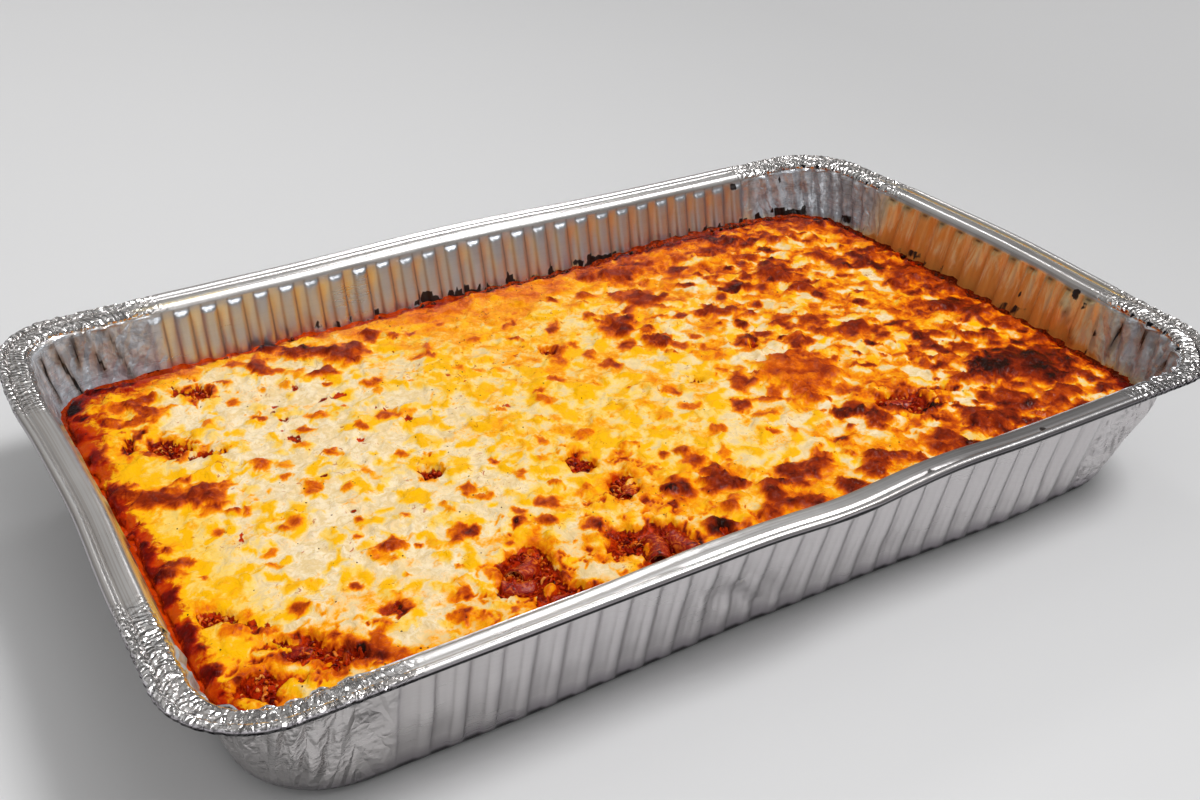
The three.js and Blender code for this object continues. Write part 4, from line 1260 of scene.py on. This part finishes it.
def stampStrokes(x, y, corner, relief, yellow, draw):
    # shreds of cheese that have melted into one another
    cell = food["cell"]
    for _ in range(cheese["strokes"]):
        middle = draw.uniform((-238, -137), (238, 137))
        length = draw.uniform(*cheese["strokeLength"])
        width = draw.uniform(*cheese["strokeWidth"])
        height = draw.uniform(*cheese["strokeHeight"])
        turn = draw.uniform(0, math.pi)
        bow = draw.uniform(-0.35, 0.35)
        tone, strength = draw.uniform(), draw.uniform(0.4, 1.1)
        reach = length / 2 + 3 * width
        low = np.maximum(0, ((middle - reach - corner) / cell).astype(int) - 3)
        high = ((middle + reach - corner) / cell).astype(int) + 5
        window = (slice(low[0], high[0]), slice(low[1], high[1]))
        if x[window].size == 0:
            continue
        apartX, apartY = x[window] - middle[0], y[window] - middle[1]
        along = apartX * math.cos(turn) + apartY * math.sin(turn)
        across = apartY * math.cos(turn) - apartX * math.sin(turn)
        across = across - bow * (along ** 2 / length - length / 12)
        over = np.maximum(0, np.abs(along) - length / 2)
        away = np.hypot(across, over) / width
        shape = np.exp(-away ** 2)
        relief[window] += 0.55 * height * shape
        if tone < cheese["yellowShare"]:
            yellow[window] = np.maximum(yellow[window], strength * ease(2.7, 0.2, away))
        elif tone > 0.5:
            yellow[window] = yellow[window] * (1 - 0.8 * ease(1.8, 0.5, away))


def toastShare(x, y, away, warpedX, warpedY):
    # how toasted the cheese is, from 0 to a little over 1, with a grain that runs one way
    turn = math.radians(cheese["grainTurn"])
    along = warpedX * math.cos(turn) + warpedY * math.sin(turn)
    across = warpedY * math.cos(turn) - warpedX * math.sin(turn)
    patches = roughNoise(0.7 * along, across, 12, 24, 3)
    streaks = roughNoise(0.75 * along, across, 4.6, 27, 3)
    toast = (0.07 + 0.08 * ease(-120, -20, x) + 0.08 * ease(20, 160, x) + 0.1 * ease(150, 225, x)
             + 0.15 * ease(34, 4, away) * mix(1, 0.6, ease(-190, -230, x))
             + 0.1 * ease(12, 1, away) * ease(-120, 60, x)
             + 0.14 * ease(60, 125, y) * ease(-170, -20, x)
             + 0.08 * ease(26, 4, 141 + y) * ease(-20, 60, x) + 0.05 * ease(-60, -110, y)
             + 0.17 * patches * (0.35 + 0.65 * ease(-60, 100, x))
             + 0.14 * streaks * (0.35 + 1.3 * ease(0, 160, x)))
    toast += 0.46 * np.minimum(1, 1.5 * farLeftShare(x, y)) * ease(30, 2, away) * (1 + streaks)
    toast += 0.36 * ease(9, 1, away) * ease(110, 130, y) * ease(-120, 20, x) * (1 + streaks)
    return toast, streaks


def farLeftShare(x, y):
    return np.exp(-((x + 226) / 30) ** 2 - ((y - 122) / 26) ** 2)


def stampSpots(x, y, toast, streaks, relief, draw):
    # browned spots: the large ones listed, the small ones strewn
    spotX = x + 1.1 * roughNoise(x, y, 5, 177, 2)
    spotY = y + 1.1 * roughNoise(x, y, 5, 179, 2)
    domes = np.zeros_like(x)

    def brown(entry, darkness, height, seed):
        near = np.hypot(x - entry[0], y - entry[1]) < 2.4 * entry[2] + 6
        spot = blob(spotX[near], spotY[near], entry, cheese["spotRaggedness"], seed)
        spot = spot * (1 - 0.15 * streaks[near]) - 0.1 * relief[near]
        inner = darkness * (1 + 0.16 * streaks[near])
        toast[near] = np.maximum(toast[near], mix(toast[near], inner, ease(1.5, 0.5, spot)))
        domes[near] = np.maximum(domes[near], height * ease(1.35, 0.25, spot))

    for index, entry in enumerate(brownSpots):
        brown(entry, cheese["spotStrength"] * entry[5], min(2.6, 0.7 + 0.16 * entry[3]),
              101 + index % 40)
    for _ in range(cheese["smallSpots"]):
        atX, atY = draw.uniform((-240, -139), (240, 139))
        size, slim = draw.uniform(1.3, 5.2), draw.uniform(0.4, 0.95)
        turn = draw.normal(cheese["grainTurn"], 28)
        darkness = draw.uniform(0.3, 0.58) + 0.22 * ease(0, 120, atX)
        wanted = 0.24 + 0.34 * ease(20, 180, atX) + 0.3 * ease(70, 130, abs(atY))
        if draw.uniform() < wanted:
            brown((atX, atY, size, size * slim, turn), darkness, 0.5, 145)
    return domes


def sauceThreads(x, y, warpedX, warpedY):
    # threads of sauce between the shreds, near the openings and at the near left
    share = np.exp(-((x + 165) / 45) ** 2 - ((y + 96) / 30) ** 2)
    share = np.maximum(0.9 * holeDepth(x, y, 3.3, 1.3), share)
    share *= ease(-0.5, 0.3, roughNoise(x, y, 15, 204, 2))
    threads = ease(0.17, 0.03, np.abs(roughNoise(warpedX, warpedY, 8.5, 201, 2))) * share
    faint = ease(0.07, 0.0, np.abs(roughNoise(warpedX, warpedY, 12, 207, 2)))
    return threads + 0.35 * faint * ease(0.2, 0.7, roughNoise(x, y, 26, 209, 2))


def cheeseFields():
    # the height of the cheese over a grid, and what its finish reads there
    cell, draw = food["cell"], np.random.default_rng(cheese["seed"])
    columns = np.arange(-food["halfLength"], food["halfLength"] + cell, cell)
    rows = np.arange(-food["halfWidth"], food["halfWidth"] + cell, cell)
    x, y = np.meshgrid(columns, rows, indexing="ij")
    away = foilDistance(x, y)
    warpedX = x + 2.6 * roughNoise(x, y, 8, 171, 3)
    warpedY = y + 2.6 * roughNoise(x, y, 8, 174, 3)
    # the edge keeps an uneven distance from the wall
    border = cheese["border"]
    ends = np.where(x > 0, border["right"], border["left"])
    longs = np.where(y > 0, border["far"], border["near"])
    isEnd = ease(-15, 15, (np.abs(x) - 242) - (np.abs(y) - 141))
    edge = (mix(longs, ends, isEnd) + 1.2 * softNoise(x, y, 26, 21)
            + 1.0 * roughNoise(x, y, 8, 22, 2))
    inwards = away - edge
    # oil and thin sauce stain the cheese along the wall
    oilReach = (6 + 17 * farLeftShare(x, y) + 5 * ease(40, 150, x) + 4 * ease(60, 130, y)
                + 6 * ease(-205, -235, x))
    oil = np.clip(1.25 - away / oilReach + 0.22 * roughNoise(x, y, 11, 191, 3), 0, 1)
    relief, yellow = np.zeros_like(x), np.zeros_like(x)
    stampStrokes(warpedX, warpedY, (columns[0], rows[0]), relief, yellow, draw)
    relief = np.minimum(relief, cheese["mostRelief"])
    toast, streaks = toastShare(x, y, away, warpedX, warpedY)
    domes = stampSpots(x, y, toast, streaks, relief, draw)
    yellow += (0.55 * ease(-186, -226, x) + 0.22 * ease(-150, -40, x) + 0.2 * ease(-80, 60, x)
               - 0.38 * ease(-30, 100, x) + 0.2 * ease(90, 135, y)
               - 0.12 * ease(-60, -110, y) * ease(0, -80, x) + 1.1 * oil)

    # thin places and gaps where the sauce comes through
    hole = holeDepth(x, y)
    strands = ease(0.2, 0.06, np.abs(roughNoise(warpedX, warpedY, 8, 215, 2)))
    hole *= 1 - 0.85 * strands * ease(-0.2, 0.3, roughNoise(x, y, 12, 217, 2))
    gaps = ease(0.78, 1.12, roughNoise(x, y, 9, 151, 3) - 0.35 * relief)
    gaps *= 0.5 + 0.5 * ease(60, -120, x)
    threads = sauceThreads(x, y, warpedX, warpedY)
    toast += 0.2 * holeDepth(x, y, 2.1, 0.9) * (1 + 0.6 * streaks) + 0.5 * threads
    sauce = np.maximum.reduce([ease(0.05, 0.6, hole), 0.85 * gaps, ease(2.4, 0.2, inwards),
                               0.62 * threads])

    waves = 1.0 * softNoise(x, y, 46, 161) + 0.8 * softNoise(x, y, 21, 162)
    crown = 1 - np.exp(-np.maximum(0, inwards + 1.6) / food["cheeseEdge"])
    rise = food["cheeseLift"] * crown + (0.25 + 0.75 * ease(0, 25, inwards)) * waves
    grain = 0.28 * roughNoise(x, y, 3.4, 165, 2)
    high = (food["pastaLevel"] + 0.4 + rise * (1 - 0.95 * hole)
            + (relief + grain + domes * (1 - 0.6 * hole)) * ease(-2, 2, inwards) * (1 - hole)
            - (1.1 * gaps + 0.7 * np.minimum(threads, 1)) * (1 - hole)
            + 0.7 * farRightRise(x, y) * crown)
    high = np.maximum(high, food["pastaLevel"] - 0.6)
    return x, y, high, away, {"toast": toast, "yellow": yellow, "sauce": sauce, "oil": oil}


def borderLoop(quads):
    # the border's edges are those that only one cell has, here in order round the piece
    edges = {}
    for first, second in ((0, 1), (1, 2), (2, 3), (3, 0)):
        for start, end in zip(quads[:, first].tolist(), quads[:, second].tolist()):
            if (end, start) in edges:
                del edges[(end, start)]
            else:
                edges[(start, end)] = True
    following = dict(edges.keys())
    loop = [next(iter(following))]
    while following[loop[-1]] != loop[0]:
        loop.append(following[loop[-1]])
    return np.array(loop)


def meltedCheese():
    x, y, high, away, fields = cheeseFields()
    kept = away > cheese["fromFoil"]
    full = kept[:-1, :-1] & kept[1:, :-1] & kept[1:, 1:] & kept[:-1, 1:]
    number = np.full(x.shape, -1)
    used = np.zeros(x.shape, bool)
    for part in ((slice(None, -1), slice(None, -1)), (slice(1, None), slice(None, -1)),
                 (slice(1, None), slice(1, None)), (slice(None, -1), slice(1, None))):
        used[part] |= full
    number[used] = np.arange(used.sum())
    i, j = np.nonzero(full)
    quads = np.column_stack([number[i, j], number[i + 1, j], number[i + 1, j + 1],
                             number[i, j + 1]])
    loop = borderLoop(quads)
    top = np.column_stack([x[used], y[used], high[used]])
    skirt = top[loop].copy()
    skirt[:, 2] = under = food["pastaLevel"] - cheese["underside"]
    points = np.concatenate([top, skirt, [[0, 0, under]]])
    count, start = len(loop), len(top)
    step = np.arange(count)
    after = (step + 1) % count
    walls = np.column_stack([start + step, start + after, loop[after], loop[step]])
    bottom = np.column_stack([start + after, start + step, np.full(count, start + count)])
    values = {key: np.concatenate([value[used], value[used][loop], [0.0]])
              for key, value in fields.items()}
    return meshFrom("meltedCheese", points, np.concatenate([quads, walls]), bottom, values)


def cheeseMaterial():
    material, tree, surface, place = newMaterial("brownedCheese")
    broad = noiseValue(place, 62.0, 3.0, 0.6, 0.9)
    middle = noiseValue(place, 190.0, 3.0, 0.55, 1.1)
    fine = noiseValue(place, 640.0, 3.0, 0.6, 0.6)

    def varied(value, *weights):
        for source, weight in zip((broad, middle, fine), weights):
            if weight:
                value = plus(value, timesPlus(source, weight, -weight / 2))
        return value

    toast = varied(attribute(tree, "toast"), 0.33, 0.34, 0.2)
    cream = blend(stepUp(varied(0.5, 0.5, 0.8, 0.4), 0.36, 0.64),
                  colour(*cheese["cream"]), colour(*cheese["paleCream"]))
    yellowness = varied(attribute(tree, "yellow"), 0.7, 0.7, 0.5)
    base = blend(stepUp(yellowness, 0.08, 0.42), cream, colour(*cheese["yellow"]))
    base = blend(stepUp(yellowness, 0.38, 0.74), base, colour(*cheese["deepYellow"]))
    shade = blend(stepUp(toast, 0.08, 0.27), base, colourRamp(toast, cheese["toasted"]))
    # small flecks where sauce has come through and dried
    flecks = times(stepUp(noiseValue(place, 300.0, 2.0, 0.6, 1.2), 0.62, 0.7),
                   stepUp(noiseValue(place, 50.0, 2.0), 0.5, 0.62))
    shade = blend(times(flecks, 0.75), shade, colour(*cheese["fleck"]))
    oiled = stepUp(varied(attribute(tree, "oil"), 0.7, 1.1, 0.5), 0.3, 0.75)
    shade = blend(oiled, shade, darker(shade, 0.56, 0.13, 0.02))
    sauced = stepUp(varied(attribute(tree, "sauce"), 0.0, 0.9, 0.6), 0.5, 0.72)
    sauceShade = blend(stepUp(varied(0.5, 0.6, 0.6, 0.6), 0.35, 0.7),
                       colour(*cheese["deepSauce"]), colour(*cheese["brightSauce"]))
    shade = blend(sauced, shade, sauceShade)
    feed(surface["Base Color"], shade)
    feed(surface["Roughness"], timesPlus(sauced, -0.08, timesPlus(middle, 0.3, 0.04)))
    surface["Specular IOR Level"].default_value = 0.05
    surface["Subsurface Weight"].default_value = 0.06
    surface["Subsurface Radius"].default_value = (1.0, 0.5, 0.2)
    surface["Subsurface Scale"].default_value = 0.0014
    under = bump(surface, middle, 0.0016, 0.6)
    bump(surface, fine, 0.0005, 0.25, under)
    return material


print("melted cheese")
cheesePiece = meltedCheese()
cheesePiece.data.materials.append(cheeseMaterial())
finishPiece(cheesePiece, "melted_cheese")


# bits that lie on the food: lumps in the sauce, burnt crumbs and herbs
bits = {
    "herbFlecks": {"amount": 5200, "sizes": (0.5, 1.1), "tilt": 0.5, "sink": 0.0, "seed": 6,
                   "shades": [(0.0, (28, 14, 8)), (0.6, (70, 30, 12)), (0.9, (96, 84, 30))]},
    "sauceLumps": {"amount": 260000, "sizes": (0.4, 1.3), "tilt": 1.5, "sink": 0.0, "seed": 5,
                   "shades": [(0.0, (70, 7, 2)), (0.3, (142, 22, 3)), (0.62, (184, 54, 6)),
                              (0.86, (218, 104, 18)), (1.0, (230, 150, 66))]},
    "burntCrumbs": {"amount": 700000, "sizes": (0.35, 1.25), "tilt": 1.5, "sink": -0.7, "seed": 3,
                    "shades": [(0.0, (16, 9, 6)), (0.4, (44, 15, 6)), (1.0, (150, 52, 10))]},
}


def lumpMesh(name, seed, size, columns=8, rows=5, flatness=0.7, spread=(0.55, 1.3)):
    # a small uneven lump of about 1 mm times its size
    turns = np.linspace(0, 2 * math.pi, columns, endpoint=False)
    draw = np.random.default_rng(seed)
    loops = []
    for row in range(1, rows):
        tilt = math.pi * row / rows - math.pi / 2
        radius = size * draw.uniform(*spread, columns)
        loops.append(np.column_stack([radius * math.cos(tilt) * np.cos(turns),
                                      0.8 * radius * math.cos(tilt) * np.sin(turns),
                                      flatness * radius * math.sin(tilt)]))
    count = len(loops)
    points = np.concatenate(loops + [[[0, 0, -flatness * size], [0, 0, flatness * size]]])
    triangles = np.concatenate([
        fanFaces(0, columns, count * columns, False),
        fanFaces((count - 1) * columns, columns, count * columns + 1, True)])
    return meshFrom(name, points, ringFaces(count, columns), triangles)


def curlMesh(name, seed, size=2.0, thickness=0.55, steps=7, edges=6):
    # a short bent shred
    draw = np.random.default_rng(seed)
    sweep = np.linspace(0, math.radians(draw.uniform(120, 260)), steps)
    middle = size * draw.uniform(0.7, 1.2) * np.column_stack([
        np.cos(sweep), np.sin(sweep), 0.25 * np.sin(2 * sweep + draw.uniform(0, 3))])
    middle -= middle.mean(axis=0)
    ways = np.gradient(middle, axis=0)
    ways /= np.linalg.norm(ways, axis=1)[:, None]
    across = np.cross(ways, [0, 0, 1.0])
    upward = np.cross(across, ways)
    radii = thickness * draw.uniform(0.75, 1.2, steps)
    radii[[0, -1]] *= 0.5
    turns = np.linspace(0, 2 * math.pi, edges, endpoint=False)
    loops = [middle[step] + radii[step] * (np.outer(np.cos(turns), across[step])
                                           + np.outer(np.sin(turns), upward[step]))
             for step in range(steps)]
    points = np.concatenate(loops + [middle[:1], middle[-1:]])
    centre = steps * edges
    triangles = np.concatenate([fanFaces(0, edges, centre, True),
                                fanFaces((steps - 1) * edges, edges, centre + 1, False)])
    return meshFrom(name, points, ringFaces(steps, edges)[:, ::-1], triangles)


def scatteredBits(sources):
    # strews the source pieces over a surface, thicker where its share says
    tree, inputs, given = newGroup("scatteredBits", (
        "Amount", "Least Size", "Most Size", "Tilt", "Sink"))
    spread = addNode(tree, "GeometryNodeDistributePointsOnFaces")
    feed(spread.inputs["Mesh"], given["Geometry"])
    feed(spread.inputs["Density"], times(given["Amount"], named(tree, "share")))
    feed(spread.inputs["Seed"], given["Seed"])
    choice = addNode(tree, "GeometryNodeGeometryToInstance")
    for source in sources:
        info = addNode(tree, "GeometryNodeObjectInfo")
        info.inputs["Object"].default_value = source
        feed(choice.inputs[0], info.outputs["Geometry"])
    place = addNode(tree, "GeometryNodeInstanceOnPoints")
    back = times(given["Tilt"], -1.0)
    turns = vectorOf(uneven(given, back, given["Tilt"], 1), uneven(given, back, given["Tilt"], 2),
                     uneven(given, 0.0, 2 * math.pi, 3))
    for name, value in (("Points", spread.outputs["Points"]), ("Instance", choice.outputs[0]),
                        ("Pick Instance", True), ("Rotation", turns),
                        ("Scale", uneven(given, given["Least Size"], given["Most Size"], 4))):
        feed(place.inputs[name], value)
    tint = addNode(tree, "GeometryNodeStoreNamedAttribute", data_type="FLOAT", domain="INSTANCE")
    for name, value in (("Geometry", place.outputs[0]), ("Name", "tint"),
                        ("Value", uneven(given, 0.0, 1.0, 5))):
        feed(tint.inputs[name], value)
    sink = addNode(tree, "GeometryNodeTranslateInstances")
    for name, value in (("Instances", tint.outputs[0]), ("Local Space", False),
                        ("Translation", vectorOf(z=times(given["Sink"], -1.0)))):
        feed(sink.inputs[name], value)
    endGroup(given, sink.outputs[0])
    return tree, inputs


def bitMaterial(name, stops, roughness):
    material, tree, surface, place = newMaterial(name)
    mottled = noiseValue(place, 700.0, 3.0, 0.6)
    value = plus(attribute(tree, "tint"), timesPlus(mottled, 0.5, -0.25))
    feed(surface["Base Color"], colourRamp(value, stops))
    surface["Roughness"].default_value = roughness
    surface["Specular IOR Level"].default_value = 0.12
    bump(surface, mottled, 0.0005, 0.5)
    return material


def scatterPiece(name, ground, share, sources, material):
    # the sources strewn over the ground's mesh
    piece = bpy.data.objects.new(name, ground.data.copy())
    bpy.context.scene.collection.objects.link(piece)
    layer = piece.data.attributes.new("share", "FLOAT", "POINT")
    layer.data.foreach_set("value", np.clip(share, 0, 1).astype(np.float32))
    settings = bits[name]
    least, most = settings["sizes"]
    runGroup(piece, *scatteredBits(sources), {
        "Amount": float(settings["amount"]), "Least Size": least, "Most Size": most,
        "Tilt": settings["tilt"], "Sink": settings["sink"] * mm, "Seed": settings["seed"],
        "Material": material})
    for source in sources:
        bpy.data.objects.remove(source)
    finishPiece(piece)


print("bits on the food")
x, y, z = pointsOf(cheesePiece.data).T
onTop = ease(food["pastaLevel"] - 1.3, food["pastaLevel"] - 0.9, z) * ease(2, 4, wallDistance(x, y))
herbShare = onTop * (0.5 + 0.5 * softNoise(x, y, 40, 181))
scatterPiece("herbFlecks", cheesePiece, herbShare,
             [lumpMesh(f"herb{index}", 80 + index, 0.55, 6, 4, 0.4) for index in range(3)],
             bitMaterial("herbFleck", bits["herbFlecks"]["shades"], 0.6))
x, y, z = pointsOf(saucePiece.data).T
away = wallDistance(x, y)
inHole = ease(0.25, 0.8, holeDepth(x, y)) * ease(1.5, 4, away) * ease(37, 38, z)
scatterPiece("sauceLumps", saucePiece, inHole,
             [curlMesh(f"curl{index}", 30 + index) for index in range(4)]
             + [lumpMesh(f"lump{index}", 40 + index, 1.3) for index in range(2)],
             bitMaterial("sauceLump", bits["sauceLumps"]["shades"], 0.16))
away = foilDistance(x, y)
shore = ease(4.2, 3, away) * ease(1.4, 2, away) * ease(39.6, 40.6, z)
burnt = ease(-0.1, 0.6, roughNoise(x + y, y - x, 15, 185, 2))
burnt *= np.maximum(ease(90, 120, y) * ease(-190, -60, x), 0.45 * ease(200, 232, x))
scatterPiece("burntCrumbs", saucePiece, shore * burnt,
             [lumpMesh(f"crumb{index}", 90 + index, 1.3) for index in range(3)],
             bitMaterial("burntCrumb", bits["burntCrumbs"]["shades"], 0.35))


# floor, light and camera
stage = {
    # the second floor colour is painted shade, which the floor takes towards the right
    "floorSize": 6.0, "floorCells": 8, "floorShade": (218, 218, 219), "paintedRightShade": (186, 186, 187),
    # the camera is fitted to the tray's outline; its angles are degrees
    "azimuth": -32.0, "elevation": 31.35, "roll": 1.2, "distance": 613.8,
    "target": (-36.3, -40.8, 76), "focalPixels": 1357, "imageWidth": 1200,
    # name, place, target, size and power, in metres and watts
    "lamps": [
        ("key", (2.1, -0.96, 4.3), (0, 0, 0.05), (1.35, 1.35), 137),
        ("ceiling", (0.6, -1.35, 2.6), (0, 0, 0.05), (1.6, 1.6), 12),
        ("leftFill", (-1.9, -0.2, 1.5), (0, 0, 0.05), (1.0, 1.0), 2.6),
        ("backPanel", (0.62, 1.19, 1.3), (0, 0, 0.06), (0.34, 0.3), 2.9),
        ("frontFill", (-0.5, -2.2, 1.6), (0, -0.1, 0.03), (1.6, 1.0), 9),
    ],
    "sky": [(0.0, (170, 169, 168)), (0.25, (146, 145, 144)), (0.6, (170, 169, 168)),
            (1.0, (250, 250, 249))],
    "skyAtBack": (226, 224, 220), "skyStrength": 0.6,
}


def addFloor():
    half, count = stage["floorSize"] / mm / 2, stage["floorCells"] + 1
    places = np.linspace(-half, half, count)
    x, y = np.meshgrid(places, places, indexing="ij")
    points = np.column_stack([x.ravel(), y.ravel(), np.full(x.size, -0.1)])
    i, j = np.meshgrid(np.arange(count - 1), np.arange(count - 1), indexing="ij")
    corner = (i * count + j).ravel()
    quads = np.column_stack([corner, corner + count, corner + count + 1, corner + 1])
    floor = meshFrom("floor", points, quads)
    material, _, surface, place = newMaterial("paleTable")
    cloudy = noiseValue(place, 2.2, 3.0)
    toRight, toBack, _ = partsOf(place)
    # painted shade: the floor grows darker towards the right and a little towards the back
    share = plus(stepUp(timesPlus(toBack, 0.05, toRight), -0.3, 0.8), times(cloudy, 0.1))
    shade = blend(share, colour(*stage["floorShade"]), colour(*stage["paintedRightShade"]))
    feed(surface["Base Color"], shade)
    surface["Roughness"].default_value = 0.75
    floor.data.materials.append(material)


def addLamp(name, place, target, size, power):
    data = bpy.data.lights.new(name, "AREA")
    data.shape = "RECTANGLE"
    data.size, data.size_y = size
    data.energy = power
    lamp = bpy.data.objects.new(name, data)
    bpy.context.scene.collection.objects.link(lamp)
    away = np.array(place) - np.array(target)
    tilt, yaw = math.atan2(math.hypot(away[0], away[1]), away[2]), math.atan2(away[0], -away[1])
    lamp.location = place
    lamp.rotation_euler = (tilt, 0, yaw)


def addWorld():
    world = bpy.data.worlds.new("studio")
    world.use_nodes = True
    tree = world.node_tree
    background = tree.nodes["Background"].inputs
    _, toBack, up = partsOf(addNode(tree, "ShaderNodeTexCoord").outputs["Generated"])
    atBack = times(stepUp(toBack, 0.55, 0.85), stepUp(up, 0.3, 0.45))
    sky = blend(atBack, colourRamp(up, stage["sky"]), colour(*stage["skyAtBack"]))
    feed(background["Color"], sky)
    background["Strength"].default_value = stage["skyStrength"]
    bpy.context.scene.world = world


def addCamera():
    azimuth, elevation, roll = (math.radians(stage[key]) for key in
                                ("azimuth", "elevation", "roll"))
    back = np.array([math.sin(azimuth) * math.cos(elevation),
                     -math.cos(azimuth) * math.cos(elevation), math.sin(elevation)])
    right = np.array([math.cos(azimuth), math.sin(azimuth), 0])
    up = np.cross(back, right)
    turnedRight = math.cos(roll) * right + math.sin(roll) * up
    turnedUp = -math.sin(roll) * right + math.cos(roll) * up
    data = bpy.data.cameras.new("camera")
    data.sensor_width = 36
    data.lens = data.sensor_width * stage["focalPixels"] / stage["imageWidth"]
    data.clip_start = 0.01
    camera = bpy.data.objects.new("camera", data)
    bpy.context.scene.collection.objects.link(camera)
    matrix = np.eye(4)
    matrix[:3, 0], matrix[:3, 1], matrix[:3, 2] = turnedRight, turnedUp, back
    matrix[:3, 3] = (np.array(stage["target"]) + back * stage["distance"]) * mm
    camera.matrix_world = mathutils.Matrix(matrix.tolist())
    bpy.context.scene.camera = camera


print("floor, light and camera")
addFloor()
addWorld()
for lamp in stage["lamps"]:
    addLamp(*lamp)
addCamera()
bpy.context.scene.view_settings.view_transform = "Standard"
